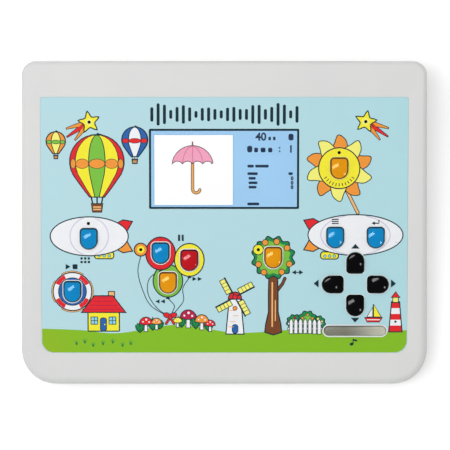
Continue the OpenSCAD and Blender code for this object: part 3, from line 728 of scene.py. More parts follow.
def key_plastic(name, rim_shade, shoulder_sheen, crown, glint, gloss, roughness):
    """Glossy coloured ABS with painted rim shade and painted shoulder sheen; glint tints what it
    mirrors.
    """
    material, tree, shader = new_finish(name, {"IOR": 1.53, "Roughness": roughness,
                                               "Specular IOR Level": gloss,
                                               "Specular Tint": linear(glint)})
    rise = add_node(tree, "ShaderNodeAttribute", attribute_name="rise")
    # painted shade on the wall and lower shoulder, painted sheen on the shoulder's top, own colour on
    # the dome
    colour = ramp_of(tree, rise.outputs["Fac"],
                     [(RIM_SHADE_TO, rim_shade), (SHOULDER_SHEEN_AT, shoulder_sheen), (1, crown)])
    shade_into(shader.inputs["Base Color"], tree, colour, noise_of(tree, 5 * MM, 2.0), 0.94, 1.04)
    grain(tree, shader, 5 * MM, 0.0012 * MM, 0.0)
    return material


# each: the rim's painted shade, the shoulder's painted sheen, own colour, glint tint, gloss,
# roughness
key_finish = {
    "key_blue": key_plastic("glossy_blue_abs", "#173F52", "#2A86BA", "#0F89C8", "#C8F2FF",
                            0.5, 0.08),
    "key_orange": key_plastic("glossy_orange_abs", "#6E4210", "#E2983A", "#E89A14", "#FFEFA8",
                              0.5, 0.08),
    "key_red": key_plastic("glossy_red_abs", "#4C0F1A", "#B02A34", "#C0181F", "#FFD6DA",
                           0.5, 0.08),
    "key_black": key_plastic("glossy_black_abs", "#040405", "#060608", "#070709", "#FFFFFF",
                             0.25, 0.08),
}
slot_of_node = {part["node"]: part["material_slot"] for part in frame["record"]["subparts"]}

# %% Copy the cap to every key
key_places = {}
for node in key_nodes:
    low, high = panel_box(node)
    middle = (low + high) / 2
    turn = ARCH_TURN.get(node, 0)
    key_places[node] = (middle.x, middle.y, turn)
    cap = copy_of(key_cap, node + "_cap")
    to_place = (panel_to_world @ Matrix.Scale(MM, 4) @ Matrix.Translation((middle.x, middle.y, 0))
                @ Matrix.Rotation(math.radians(turn), 4, "Z"))
    cap.data.transform(to_place)
    dress(cap, key_finish[slot_of_node[node]])
    settle(cap, node + "_cap", node, slot_of_node[node], node)
bpy.data.objects.remove(key_cap)
print("caps:", len(key_places))

# %% [markdown]
# ## The tone bar
# The long bar under the keys is painted in a warm satin silver: a pill with a small rolled edge.
# Its brushed lines run along it, and its colour is darker at the left than at the right: a painted
# reflection.

# %% Satin silver
def silver_with_painted_reflection():
    """Silver paint, brushed along the bar, with a painted reflection that is darker at the left."""
    material, tree, shader = new_finish("brushed_silver_paint", {"Metallic": 0.3,
                                                                "Roughness": 0.36})
    low, high = panel_box("tone_bar")
    axes = add_node(tree, "ShaderNodeSeparateXYZ", {"Vector": place_of(tree)})
    along = spread_of(tree, axes.outputs["X"], 0, 1, low.x * MM, high.x * MM)
    # painted reflection: darker at the left, lighter at the right
    colour = ramp_of(tree, along, [(0, "#929284"), (0.35, "#87877A"), (0.5, "#959588"),
                                   (0.62, "#ACAC9E"), (0.8, "#CACAB8"), (1, "#DCDCCA")])
    lines = lines_of(tree, (1 / (12 * MM), 1 / (0.35 * MM), 1 / (0.35 * MM)), 3.0)
    shade_into(shader.inputs["Base Color"], tree, colour, lines, 0.85, 1.08)
    emboss(tree, shader, lines, 0.01 * MM)
    return material


# %% Model the tone bar
bar_low, bar_high = panel_box("tone_bar")
BAR_WIDTH = bar_high.x - bar_low.x - 2 * FLANGE_OUT
BAR_LENGTH = bar_high.y - bar_low.y - 2 * FLANGE_OUT
BAR_EDGE = 0.7

tone_bar = rounded_plane("tone_bar_cap", BAR_WIDTH + 2 * FLANGE_OUT, BAR_LENGTH + 2 * FLANGE_OUT,
                         BAR_LENGTH / 2 + FLANGE_OUT - 0.02, BAR_LENGTH / 2 + FLANGE_OUT - 0.02, 10)
bpy.ops.transform.translate(value=(0, 0, FLANGE_TOP - FLANGE_THICK))
raise_face(FLANGE_THICK)
bpy.ops.mesh.inset(thickness=FLANGE_OUT, depth=0)
raise_face(bar_high.z - BAR_EDGE - FLANGE_TOP)
roll_shoulder(BAR_EDGE, BAR_EDGE, 5)
bpy.ops.object.mode_set(mode="OBJECT")
bpy.ops.object.shade_smooth_by_angle(angle=math.radians(40))
bar_middle = (bar_low + bar_high) / 2
tone_bar.data.transform(panel_to_world @ Matrix.Scale(MM, 4)
                        @ Matrix.Translation((bar_middle.x, bar_middle.y, 0)))
dress(tone_bar, silver_with_painted_reflection())
settle(tone_bar, "tone_bar_cap", "tone_bar", "tone_silver", "tone_bar")
print("tone bar, mm:", round(BAR_WIDTH, 1), "x", round(BAR_LENGTH, 1), "rise", round(bar_high.z, 2))

# %% [markdown]
# ## Printing on the panel
# The picture on the overlay is screen printed: every ink is a thin, flat, even film with a crisp
# edge, laid over the one before. A flat curve that is filled is just such a film. Each film is
# drawn in millimetres on the panel, turned into a mesh, punched where a key or lamp comes
# through, and stacked one film's thickness above the last. The real film is about 0.01 mm thick,
# and so is this one.

# %% Press
FILM = 0.01 * MM
FILM_SHARE = 0.4                      # half a film's thickness, as a share of a level
CUT_DEPTH = 200                       # of a punch, in levels


def press_at(height):
    """From drawing millimetres and film levels to the world; height is in mm off the panel."""
    return (panel_to_world @ Matrix.Translation((0, 0, height * MM))
            @ Matrix.Diagonal((MM, MM, FILM, 1)))


def merged(piece):
    """Merges a piece's doubles and turns its faces outwards."""
    pick(piece)
    bpy.ops.object.mode_set(mode="EDIT")
    bpy.ops.mesh.select_all(action="SELECT")
    bpy.ops.mesh.remove_doubles(threshold=0.0001)
    bpy.ops.mesh.normals_make_consistent(inside=False)
    bpy.ops.object.mode_set(mode="OBJECT")
    return piece


def film(outlines, level, ink=None, thickness=FILM_SHARE):
    """A flat printed shape; an outline inside another is a hole."""
    drawing = bpy.data.curves.new("film", "CURVE")
    drawing.dimensions = "2D"
    drawing.fill_mode = "BOTH"
    drawing.extrude = thickness
    for outline in outlines:
        spline = drawing.splines.new("POLY")
        spline.points.add(len(outline) - 1)
        for point, place in zip(spline.points, outline):
            point.co = (place[0], place[1], 0, 1)
        spline.use_cyclic_u = True
    piece = bpy.data.objects.new("film", drawing)
    piece.location.z = level
    scene.collection.objects.link(piece)
    if ink:
        dress(piece, ink)
    return piece


def as_meshes(pieces):
    """Turns drawings into meshes, with their place applied."""
    bpy.ops.object.select_all(action="DESELECT")
    for piece in pieces:
        piece.select_set(True)
    bpy.context.view_layer.objects.active = pieces[0]
    bpy.ops.object.convert(target="MESH")
    bpy.ops.object.transform_apply(location=True)
    return pieces


# %% [markdown]
# The shapes of a picture like this are few: arcs, ovals, smooth curves through a few points,
# boxes and strokes. One function for each returns its outline as points, and one more grows an
# outline, which gives the dark line round a shape when it is printed underneath.

# %% Shapes to draw with
def arc(center, radius, start, end, points=14):
    """Points along a circle's arc; the angles are in degrees."""
    angles = [math.radians(start + (end - start) * i / (points - 1)) for i in range(points)]
    return [(center[0] + radius * math.cos(a), center[1] + radius * math.sin(a)) for a in angles]


def oval(center, half_width, half_height=None, points=36):
    """An ellipse, or a circle when it has one radius."""
    half_height = half_height or half_width
    angles = [2 * math.pi * i / points for i in range(points)]
    return [(center[0] + half_width * math.cos(a), center[1] + half_height * math.sin(a))
            for a in angles]


def smooth(points, closed=True, steps=6):
    """A curve that runs smoothly through all the points."""
    count = len(points)
    last = count if closed else count - 1
    curve = []
    for i in range(last):
        if closed:
            p0, p1, p2, p3 = [Vector(points[(i + k) % count]) for k in (-1, 0, 1, 2)]
        else:
            p0, p1, p2, p3 = [Vector(points[min(max(i + k, 0), count - 1)]) for k in (-1, 0, 1, 2)]
        for step in range(steps):
            t = step / steps
            curve.append(0.5 * (2 * p1 + (p2 - p0) * t + (2 * p0 - 5 * p1 + 4 * p2 - p3) * t ** 2
                                + (3 * p1 - p0 - 3 * p2 + p3) * t ** 3))
    if not closed:
        curve.append(Vector(points[-1]))
    return [tuple(p) for p in curve]


def slab(left, bottom, right, top, radius=0.01):
    """A rectangle with rounded corners."""
    corners = [(right - radius, top - radius, 0), (left + radius, top - radius, 90),
               (left + radius, bottom + radius, 180), (right - radius, bottom + radius, 270)]
    outline = []
    for u, v, start in corners:
        outline += arc((u, v), radius, start, start + 90, 5)
    return outline


def stroke(points, width):
    """The outline of a line of this width, with round ends."""
    points = [Vector(p) for p in points]
    left, right = [], []
    for i, here in enumerate(points):
        along = points[min(i + 1, len(points) - 1)] - points[max(i - 1, 0)]
        across = Vector((-along.y, along.x)).normalized() * width / 2
        left.append(tuple(here + across))
        right.append(tuple(here - across))
    end_heading = math.degrees(math.atan2(*(points[-1] - points[-2]).yx))
    start_heading = math.degrees(math.atan2(*(points[1] - points[0]).yx))
    end_cap = arc(points[-1], width / 2, end_heading - 90, end_heading + 90, 6)[1:-1]
    start_cap = arc(points[0], width / 2, start_heading + 90, start_heading + 270, 6)[1:-1]
    return right + end_cap + left[::-1] + start_cap


def grow(outline, margin):
    """The outline moved outwards by the margin, or inwards if it is negative."""
    points = [Vector(p) for p in outline]
    after = points[1:] + points[:1]
    before = points[-1:] + points[:-1]
    area = sum(a.x * b.y - b.x * a.y for a, b in zip(points, after))
    side = math.copysign(1, area)
    grown = []
    for last, here, following in zip(before, points, after):
        came = (here - last).normalized()
        goes = (following - here).normalized()
        out_of_came = Vector((came.y, -came.x)) * side
        out_of_goes = Vector((goes.y, -goes.x)) * side
        outward = (out_of_came + out_of_goes).normalized()
        reach = margin / max(0.5, outward.dot(out_of_came))
        grown.append(tuple(here + outward * reach))
    return grown


def placed(outline, move=(0, 0), turn=0, size=1, mirror=False):
    """The outline mirrored left to right, sized, turned about the origin and then moved."""
    cos, sin = math.cos(math.radians(turn)), math.sin(math.radians(turn))
    flip = -1 if mirror else 1
    sized = [(p[0] * size * flip, p[1] * size) for p in outline]
    return [(u * cos - v * sin + move[0], u * sin + v * cos + move[1]) for u, v in sized]


def spoke(center, radius, turn):
    """The point at this radius and angle round a centre."""
    return placed([(radius, 0)], center, turn)[0]


# %% Where the panel is pierced
def d_shape(margin):
    """The key's outline, arch down, grown by the margin."""
    half = KEY_WIDTH / 2 + margin
    top = KEY_LENGTH / 2 + margin
    corner = FLAT_CORNER + margin
    return (arc((half - corner, top - corner), corner, 0, 90, 8)
            + arc((corner - half, top - corner), corner, 90, 180, 8)
            + arc((0, half - top), half, 180, 360, 28))


def bar_shape(margin):
    """The tone bar's outline, grown by the margin."""
    half = BAR_LENGTH / 2 + margin
    reach = BAR_WIDTH / 2 - BAR_LENGTH / 2
    return arc((reach, 0), half, -90, 90, 14) + arc((-reach, 0), half, 90, 270, 14)


key_outline = {node: placed(d_shape(HOLE_GAP), (u, v), turn)
               for node, (u, v, turn) in key_places.items()}
bar_outline = placed(bar_shape(HOLE_GAP), bar_middle)
window_low, window_high = panel_box("display_window")
WINDOW_FLANGE = 2.2                   # the window's rim that lies hidden under the overlay
lamp_places = [(-89, 66.7), (93, 67), (-89.8, -0.7), (75.6, 46.5), (-55.3, -18.2), (22.4, -18.2)]
LAMP_RADIUS = 1.1
print("window with its flange, mm:", [round(x, 2) for x in (*window_low, *window_high)])
pierced = list(key_outline.values()) + [bar_outline]
pierced += [oval(place, LAMP_RADIUS, points=20) for place in lamp_places]


def reaches(outline, other):
    """Whether the boxes of two outlines overlap."""
    return all(min(p[i] for p in outline) < max(p[i] for p in other)
               and min(p[i] for p in other) < max(p[i] for p in outline) for i in (0, 1))


def punch(piece, outline):
    """Cuts the panel's openings out of a film."""
    holes = [hole for hole in pierced if reaches(outline, hole)]
    if not holes:
        return piece
    cutter = film(holes, 0, thickness=CUT_DEPTH)
    as_meshes([piece, cutter])
    merged(cutter)
    merged(piece)
    cut = piece.modifiers.new("cut", "BOOLEAN")
    cut.operation = "DIFFERENCE"
    cut.solver = "EXACT"
    cut.object = cutter
    apply_all(piece, cut)
    bpy.data.objects.remove(cutter)
    return piece


# %% Inks
def screen_ink(name, hex_code):
    """Matt screen ink: even, with the faint mottle of the mesh it was pressed through."""
    material, tree, shader = matt_print(name)
    shade_into(shader.inputs["Base Color"], tree, Vector(linear(hex_code)[:3]),
               noise_of(tree, 6 * MM, 5.0), 0.98, 1.02)
    return material


ink = {name: screen_ink(name + "_screen_ink", hex_code) for name, hex_code in {
    "navy": "#10303C", "red": "#E4242B", "crimson": "#B81E4A", "orange": "#F1983A",
    "yellow": "#F5EA35", "lemon": "#F4F07A", "leaf": "#7CC142", "forest": "#1F8C4B",
    "white": "#EEF0F3", "lilac": "#CFCBE2", "brown": "#7A4526", "tan": "#F0B878",
    "sea": "#2A63AC", "sky": "#8FD3EA", "halo": "#DCEBEC"}.items()}


# %% Print a motif
LINE = 0.75                           # width of the dark outline, mm


def print_films(name, films, height=0.0, slot="overlay"):
    """Joins a motif's films, presses them onto the panel and settles the piece."""
    as_meshes(films)
    if len(films) > 1:
        bpy.ops.object.join()
    motif = merged(bpy.context.view_layer.objects.active)
    motif.data.transform(press_at(height))
    return settle(motif, name, "housing", slot)


def print_motif(name, layers, base=0):
    """Prints layers of (ink, outline, dark line); shapes in one layer share a level."""
    films = []
    level = base
    for layer in layers:
        if any(line for _, _, line in layer):
            level += 1
            for _, outline, line in layer:
                if line:
                    edge = grow(outline, line)
                    films.append(punch(film([edge], level, ink["navy"]), edge))
        level += 1
        for colour, outline, _ in layer:
            films.append(punch(film([outline], level, ink[colour]), outline))
    print(name, "films:", len(films), "levels:", level - base)
    return print_films(name, films)


# %% [markdown]
# ## The meadow
# A band of grass runs along the panel's front edge and follows its round corners. Its green is a
# little yellower at the front left.

# %% Meadow
OVERLAY_LOW, OVERLAY_HIGH = panel_box("front_overlay")
FRONT_CORNER = 8.0
EDGE_MARGIN = 0.15
GROUND = 1                            # what stands on the meadow starts above its film
HILLS = [(-121, -71.2), (-95, -72.2), (-70, -74.2), (-30, -68.6), (8, -74), (50, -71.8),
         (85, -73.5), (121, -72.2)]


def meadow_ink():
    """Grass-green screen ink that turns yellower at the front left."""
    material, tree, shader = matt_print("meadow_screen_ink")
    corner = add_node(tree, "ShaderNodeVectorMath", {0: place_of(tree)},
                      {1: (OVERLAY_LOW.x * MM, OVERLAY_LOW.y * MM, 30 * MM)}, operation="DISTANCE")
    away = spread_of(tree, corner.outputs["Value"], 0, 1, 6 * MM, 34 * MM)
    colour = ramp_of(tree, away, [(0, "#90BA22"), (1, "#85BD24")])
    tree.links.new(colour, shader.inputs["Base Color"])
    return material


left_edge = OVERLAY_LOW.x + EDGE_MARGIN
right_edge = OVERLAY_HIGH.x - EDGE_MARGIN
front_edge = OVERLAY_LOW.y + EDGE_MARGIN
hill_line = [(min(max(u, left_edge), right_edge), v)
             for u, v in smooth(HILLS, closed=False, steps=10)]
corner_v = front_edge + FRONT_CORNER
meadow_outline = (hill_line
                  + arc((right_edge - FRONT_CORNER, corner_v), FRONT_CORNER, 0, -90)
                  + arc((left_edge + FRONT_CORNER, corner_v), FRONT_CORNER, -90, -180))
meadow = punch(film([meadow_outline], 1, meadow_ink()), meadow_outline)
print_films("print_meadow", [meadow])

# %% [markdown]
# ## Motifs in the sky
# A hot-air balloon has a round crown that runs straight into a narrow mouth. Its gores are that
# same half outline, squeezed to a share of its width, so one list of points makes them all.

# %% Balloons
MOUTH_DROP = -1.32
BALLOON_PROFILE = (arc((0, 0), 1, 90, -40, 12)
                   + smooth([(0.766, -0.643), (0.5, -1.02), (0.27, MOUTH_DROP)], False, 3)[1:])


def balloon(name, center, size, gores, band, base=0):
    """A hot-air balloon: gores side by side, a scalloped band, ropes and a basket."""
    def here(outline):
        return placed(outline, center, size=size)

    envelope = ([(u, v) for u, v in BALLOON_PROFILE]
                + [(-u, v) for u, v in BALLOON_PROFILE[::-1]])
    edge = here(envelope)
    gap = 0.3 / size
    shares = [math.sin(math.radians(-90 + 180 * i / len(gores))) for i in range(len(gores) + 1)]
    strips = []
    for colour, west, east in zip(gores, shares, shares[1:]):
        right = [(u * east - (0 if east > 0.99 else gap), v) for u, v in BALLOON_PROFILE[1:]]
        left = [(u * west + (0 if west < -0.99 else gap), v) for u, v in BALLOON_PROFILE[1:]]
        strips.append((colour, here(right + left[::-1]), 0))
    scallops = []
    for west, east in zip(shares, shares[1:]):
        middle, half = (west + east) / 2, (east - west) / 2
        scallops.append((band, here(oval((middle * 0.985, -0.08), half * 0.93, 0.17, 20)), 0.35))
    ropes = [("navy", stroke([here([(0.22 * k, MOUTH_DROP)])[0], here([(0.16 * k, -1.62)])[0]],
                             0.055 * size), 0) for k in (-1, 0, 1)]
    basket = here([(-0.2, -1.6), (0.2, -1.6), (0.16, -1.9), (-0.16, -1.9)])
    weave = [("tan", here(slab(-0.15, -1.6 - 0.09 * row - 0.055, 0.15, -1.6 - 0.09 * row)), 0)
             for row in (1, 2)]
    layers = [ropes, [("navy", edge, LINE)], strips, scallops, [("brown", basket, 0.5)], weave]
    print_motif(name, layers, base)


balloon("print_balloon_large", (-84, 40.5), 17.6, ("red", "yellow", "leaf", "yellow", "red"),
        "orange")
balloon("print_balloon_middle", (-59, 55), 8.2, ("sea", "white", "sea"), "red")
balloon("print_balloon_small", (-111, 54), 6.0, ("orange", "lemon", "orange"), "leaf")

# %% Shooting stars round the two upper lamps
def star_points(outer, inner, tips, turn=90):
    """A star's outline about the origin."""
    outline = []
    for i in range(2 * tips):
        radius = outer if i % 2 == 0 else inner
        angle = math.radians(turn + 180 * i / tips)
        outline.append((radius * math.cos(angle), radius * math.sin(angle)))
    return outline


def shooting_star(name, center, mirror):
    """A five-pointed star with three streaks behind it."""
    def here(outline):
        return placed(outline, center, mirror=mirror)

    streaks = []
    for colour, turn, reach in (("orange", 196, 15.5), ("red", 214, 17.5), ("orange", 232, 15)):
        tail = placed([(4, 1.5), (reach, 0.25), (reach, -0.25), (4, -1.5)], turn=turn)
        streaks.append((colour, here(tail), 0.45))
    star = smooth(star_points(6.6, 3.3, 5, 100), steps=3)
    print_motif(name, [streaks, [("yellow", here(star), LINE)],
                       [("lemon", here(oval((0, 0), 2.3)), 0)]])


shooting_star("print_star_left", lamp_places[0], False)
shooting_star("print_star_right", lamp_places[1], True)

# %% [markdown]
# The pinwheel behind the upper right key turns about the key: ten curved blades in two
# colours, a round hub under the key, and small ticks as on a dial.

# %% Pinwheel
WHEEL = key_places["key_audiometer"][:2]
HUB_RADIUS = 13.2
BLADE_REACH = 21.8
blade = smooth([(11.5, -4.4), (15.5, -4.9), (19.3, -3.4), (BLADE_REACH, 0.6), (17.4, 2.6),
                (11.5, 4.2)], steps=5)
blades = [[], []]
for number in range(10):
    colour = ("orange", "lemon")[number % 2]
    blades[number % 2].append((colour, placed(blade, WHEEL, 18 + 36 * number), 0.6))
ticks = [("navy", stroke([spoke(WHEEL, 10.2, turn), spoke(WHEEL, 11.9, turn)], 0.55), 0)
         for turn in range(215, 326, 11)]
print_motif("print_pinwheel", [
    [("tan", stroke([spoke(WHEEL, 15, -72), (88, 6.5)], 1.5), 0.5)],
    blades[0], blades[1], [("yellow", oval(WHEEL, HUB_RADIUS, points=60), LINE)], ticks])

# %% [markdown]
# Two white airships carry the group key at the left and the menu keys at the right. An airship
# is an oval with a pale belly, seams along it, tail fins and a gondola.

# %% Airships
def airship(name, center, half_width, half_height, tail, gondola, seam_shares):
    """An airship; tail is -1 when its fins are at the left and 1 when at the right."""
    hull = oval(center, half_width, half_height, 72)
    inner = grow(hull, -1.6)
    belly = [(u, min(v, center[1] - 0.35 * half_height)) for u, v in inner]
    belly = [p for i, p in enumerate(belly) if p != belly[i - 1]]
    seams = [("lilac", stroke([(center[0] + share * half_width * math.cos(math.radians(a)),
                                center[1] + half_height * math.sin(math.radians(a)))
                               for a in range(-72, 73, 6)], 0.7), 0) for share in seam_shares]
    end = center[0] + tail * half_width
    fins = []
    for side in (1, -1):
        fin = [(end - tail * 11, center[1] + side * 6.4), (end - tail * 3, center[1] + side * 10.6),
               (end + tail * 2.6, center[1] + side * 9.6), (end - tail * 1.4, center[1] + side * 2.4)]
        fins.append(("red" if side > 0 else "orange", fin, LINE))
    cabin_u, cabin_v, cabin_w = gondola
    cabin = slab(cabin_u - cabin_w / 2, cabin_v - 1.7, cabin_u + cabin_w / 2, cabin_v + 2.4, 1.5)
    portholes = [("sky", oval((cabin_u + cabin_w * share, cabin_v - 0.1), 0.8, points=14), 0.3)
                 for share in (-0.28, 0, 0.28)]
    print_motif(name, [fins + [("yellow", cabin, LINE)], portholes, [("white", hull, LINE)],
                       [("lilac", belly, 0)], seams])


left_ship = key_places["key_group"]
airship("print_airship_left", (left_ship[0] + 0.3, left_ship[1] + 1.6), 25.4, 12.6, 1,
        (-79.5, -22.2, 12), (-0.5, 0.5))
airship("print_airship_right", (86.6, -8.4), 31, 13.2, -1, (69.5, -22.4, 11), (-0.74, 0.74))

# %% [markdown]
# Three toy balloons sit behind the play keys and a small one round a lamp; their strings meet
# in a bow over the grass.

# %% Toy balloons
BOW = (-36, -63.5)


def toy_balloon(key, colour, drop):
    """A balloon's body and knot behind a key."""
    u, v, _ = key_places[key]
    body = oval((u, v + drop), 9.4, 10.6, 48)
    foot = v + drop - 10.6
    knot = [(u, foot + 0.6), (u + 1.5, foot - 1.6), (u - 1.5, foot - 1.6)]
    return [("navy", knot, 0), (colour, body, LINE)]


strings = [
    [(-42.2, -31.5), (-49.8, -38), (-50.5, -48), (-44.5, -57.5), BOW],
    [(-23.2, -37), (-27.5, -44), (-27, -52), (-31, -58), BOW],
    [(-37.4, -51), (-33.2, -55.5), (-34.2, -59.5), BOW],
    [(-55.3, -22.6), (-57.2, -33), (-54.2, -45), (-48.5, -56), BOW],
]
lines = [("navy", stroke(smooth(route, False), 0.55), 0) for route in strings]
bow_loops = [("red", placed(oval((side * 2.3, 0.6), 2.3, 1.4, 18), BOW, side * 18), 0.5)
             for side in (-1, 1)]
bow_tails = [("red", stroke([BOW, (BOW[0] + side * 2.6, BOW[1] - 4.4)], 1.0), 0.4)
             for side in (-1, 1)]
print_motif("print_toy_balloons", [
    lines, toy_balloon("key_rewind", "leaf", 1.2), toy_balloon("key_pause", "red", -0.3),
    toy_balloon("key_forward", "yellow", 0.2) + [("orange", oval(lamp_places[4], 3.9), LINE)],
    [("yellow", oval(lamp_places[4], 2.4), 0)], bow_tails, bow_loops,
    [("red", oval(BOW, 1.1), 0.4)]])

# %% Life ring round the start key
RING = key_places["key_start_stop"][:2]
RING_OUTER = 12.4
RING_INNER = 9.5


def ring_band(start, end):
    """A piece of the ring between two angles."""
    return (arc(RING, RING_OUTER - 0.1, start, end) + arc(RING, RING_INNER + 0.1, end, start))


bands = [("red", ring_band(turn - 19, turn + 19), 0) for turn in (45, 135, 225, 315)]
loops = [("tan", stroke(arc(RING, RING_OUTER + 0.9, turn - 30, turn + 30), 0.8), 0.3)
         for turn in (0, 90, 180, 270)]
print_motif("print_life_ring", [loops, [("white", oval(RING, RING_OUTER, points=60), LINE)], bands,
                                [("sea", oval(RING, RING_INNER - 0.55, points=48), 0.55)]])

# %% Orange tree behind the side key
TREE = key_places["key_left_right"][:2]
dark_leaves = smooth([spoke(TREE, 14.2 if i % 2 else 12.0, 15 * i) for i in range(24)])
light_leaves = smooth([spoke(TREE, 11.6 if i % 2 else 10.4, 15 * i) for i in range(24)])
trunk = [(29.8, -36), (34.8, -36), (35.2, -60), (37.6, -73.4), (27.2, -73.4), (29.6, -60)]
branch = stroke([(34, -47), (38.5, -41), (40, -37.5)], 1.3)
fruit_spokes = ((11.2, 35), (10.9, 78), (11.4, 118), (10.8, 205), (11.6, 238), (11.2, 300),
                (11.5, 338))
fruit_places = [spoke(TREE, radius, turn) for radius, turn in fruit_spokes]
fruit = [("orange", oval(place, 1.75, points=18), 0.45) for place in fruit_places]
lamp_fruit = [("yellow", oval(lamp_places[5], 3.1, points=24), 0.6)]
print_motif("print_orange_tree", [
    [("brown", branch, 0.5)], [("brown", smooth(trunk, steps=2), LINE)],
    [("tan", slab(31.2, -70, 32.2, -40), 0), ("tan", slab(33.4, -66, 34.1, -52), 0)],
    [("forest", dark_leaves, LINE)], [("leaf", light_leaves, 0)], fruit + lamp_fruit], GROUND)

# %% [markdown]
# ## Motifs on the grass
# Along the hill stand a house, toadstools in tufts of leaves, a windmill, a picket fence with
# berry bushes, and a lighthouse with a sailing boat beside it.

# %% House
house_front = slab(-90, -72.5, -70, -60)
roof = [(-94, -60), (-66, -60), (-74, -49.5), (-86, -49.5)]
chimney = slab(-76.5, -53, -73, -46.5)
tiles = [("crimson", stroke([(-91.5 + row * 2.6, -58.2 + row * 2.7),
                             (-68.5 - row * 2.6, -58.2 + row * 2.7)], 0.5), 0) for row in range(4)]
pane_middles = (-86.2, -74.2)
panes = [("sky", slab(u - 2, -68, u + 2, -63.6), 0.5) for u in pane_middles]
mullions = [("navy", stroke(ends, 0.4), 0) for u in pane_middles
            for ends in (((u, -68), (u, -63.6)), ((u - 2, -65.8), (u + 2, -65.8)))]
door = slab(-82, -72.5, -78.4, -64.2, 1.2)
print_motif("print_house", [
    [("tan", chimney, 0.6)], [("yellow", house_front, LINE)], [("red", roof, LINE)],
    tiles + [("sea", door, 0.5)] + panes,
    mullions + [("yellow", oval((-79.2, -68.4), 0.45, points=10), 0)]], GROUND)

# %% Toadstools and tufts
def tuft(foot, height, count=5, spread=34):
    """Pointed leaves that fan out from one foot."""
    leaves = []
    for i in range(count):
        turn = spread * (1 - 2 * i / (count - 1))
        reach = height * (1 - 0.22 * abs(turn) / spread)
        leaf = smooth([(-0.3, 0), (-0.95, reach * 0.5), (0, reach), (0.95, reach * 0.5), (0.3, 0)],
                      steps=3)
        leaves.append(("forest", placed(leaf, foot, turn), 0.35))
    return leaves


def toadstool(foot, height, colour):
    """A domed cap with pale spots on a stalk."""
    u, v = foot
    stalk = [(u - height * 0.1, v), (u + height * 0.1, v), (u + height * 0.07, v + height * 0.62),
             (u - height * 0.07, v + height * 0.62)]
    wide = height * 0.42
    brim = v + height * 0.55
    cap = (arc((u, brim), wide, 0, 180, 14)
           + smooth([(u - wide, brim), (u, v + height * 0.47), (u + wide, brim)], False, 4)[1:-1])
    spots = [("white", oval((u + wide * du, v + height * (0.55 + dv)), height * size, points=12), 0)
             for du, dv, size in ((-0.5, 0.12, 0.055), (0.05, 0.27, 0.07), (0.52, 0.1, 0.06))]
    return [("white", stalk, 0.45)], [(colour, cap, 0.55)], spots


def hill_height(u):
    """The hill line's height at u."""
    for (u0, v0), (u1, v1) in zip(hill_line, hill_line[1:]):
        if u0 <= u <= u1:
            return v0 + (v1 - v0) * (u - u0) / max(u1 - u0, 1e-6)
    return hill_line[-1][1]


def bed(name, tufts, stools):
    """Tufts with toadstools in front of them, all standing on the hill."""
    leaves = [tuft((u, hill_height(u) - 1.2), height) for u, height in tufts]
    outer = [leaf for fan in leaves for leaf in fan[::2]]
    inner = [leaf for fan in leaves for leaf in fan[1::2]]
    layers = [outer, inner]
    grown = [toadstool((u, hill_height(u) - 1.5), height, colour) for u, height, colour in stools]
    for part in range(3):
        layers.append([shape for stool in grown for shape in stool[part]])
    print_motif(name, layers, GROUND)


bed("print_toadstools_left", [(-56, 6.5), (-47.5, 8), (-43, 6)],
    [(-52, 9.5, "red"), (-45, 7.5, "orange")])
bed("print_toadstools_middle", [(-28.5, 8), (-19, 9), (-10.5, 7)],
    [(-24, 12, "crimson"), (-15, 10, "orange"), (-31, 6.5, "yellow"), (-9.5, 7.5, "red")])

# %% Sailing boat
BOAT = (98.6, -64.6)
hull = [(-5.2, 0.6), (5.6, 0.6), (4, -1.9), (-3.8, -1.9)]
main_sail = [(0.5, 1.5), (5, 1.5), (0.5, 9.2)]
fore_sail = [(-0.5, 1.5), (-3.8, 1.5), (-0.5, 7.2)]
print_motif("print_boat", [
    [("navy", placed(slab(-0.3, 0, 0.3, 9.8), BOAT), 0)],
    [("red", placed(hull, BOAT), 0.5), ("yellow", placed(main_sail, BOAT), 0.5),
     ("white", placed(fore_sail, BOAT), 0.5)],
    [("white", placed(slab(-4.2, -0.9, 4.6, -0.3), BOAT), 0)]])

# %% Windmill
MILL = (7, -50)
mill_tower = [(MILL[0] - 5.6, -74.5), (MILL[0] + 5.6, -74.5), (MILL[0] + 3.4, MILL[1] - 1),
              (MILL[0] - 3.4, MILL[1] - 1)]
mill_cap = arc((MILL[0], MILL[1] - 1), 4.0, 0, 180, 12)
SAIL_TURNS = (28, 118, 208, 298)
sails = []
for turn in SAIL_TURNS:
    arm = placed(stroke([(0, 0), (14.5, 0)], 0.9), MILL, turn)
    canvas = placed(slab(4.2, 0.6, 14, 3.8), MILL, turn)
    sails.append([("navy", arm, 0), ("lemon", canvas, 0.5)])
rungs = [("navy", placed(stroke([(reach, 0.6), (reach, 3.8)], 0.35), MILL, turn), 0)
         for turn in SAIL_TURNS for reach in (6.6, 9.1, 11.6)]
courses = [("tan", stroke([(MILL[0] - half, v), (MILL[0] - half + 3.4, v)], 0.5), 0)
           for half, v in ((4.4, -70), (3.2, -66.5), (1.2, -62.5), (3.6, -59))]
print_motif("print_windmill", [
    [("white", mill_tower, LINE)], courses + [("sea", slab(5.4, -74.2, 8.8, -68.6, 1.6), 0.45)],
    [("orange", oval((MILL[0], -57.5), 1.2, points=14), 0.4), ("red", mill_cap, LINE)],
    sails[0] + sails[2], sails[1] + sails[3], rungs, [("red", oval(MILL, 1.3, points=16), 0.5)]],
    GROUND)

# %% Picket fence with berry bushes
def bush(center, size, colour):
    """A round bush with berries."""
    leaves = smooth([spoke(center, size * (1.0 if i % 2 else 0.84), 20 * i + 10)
                     for i in range(18)], steps=3)
    berries = [(colour, placed(oval((0, 0), 0.75, points=12), spoke(center, size * 0.58, turn)), 0.3)
               for turn in range(20, 360, 68)]
    return [[("forest", leaves, 0.6)], [("leaf", oval(center, size * 0.5, points=16), 0)], berries]


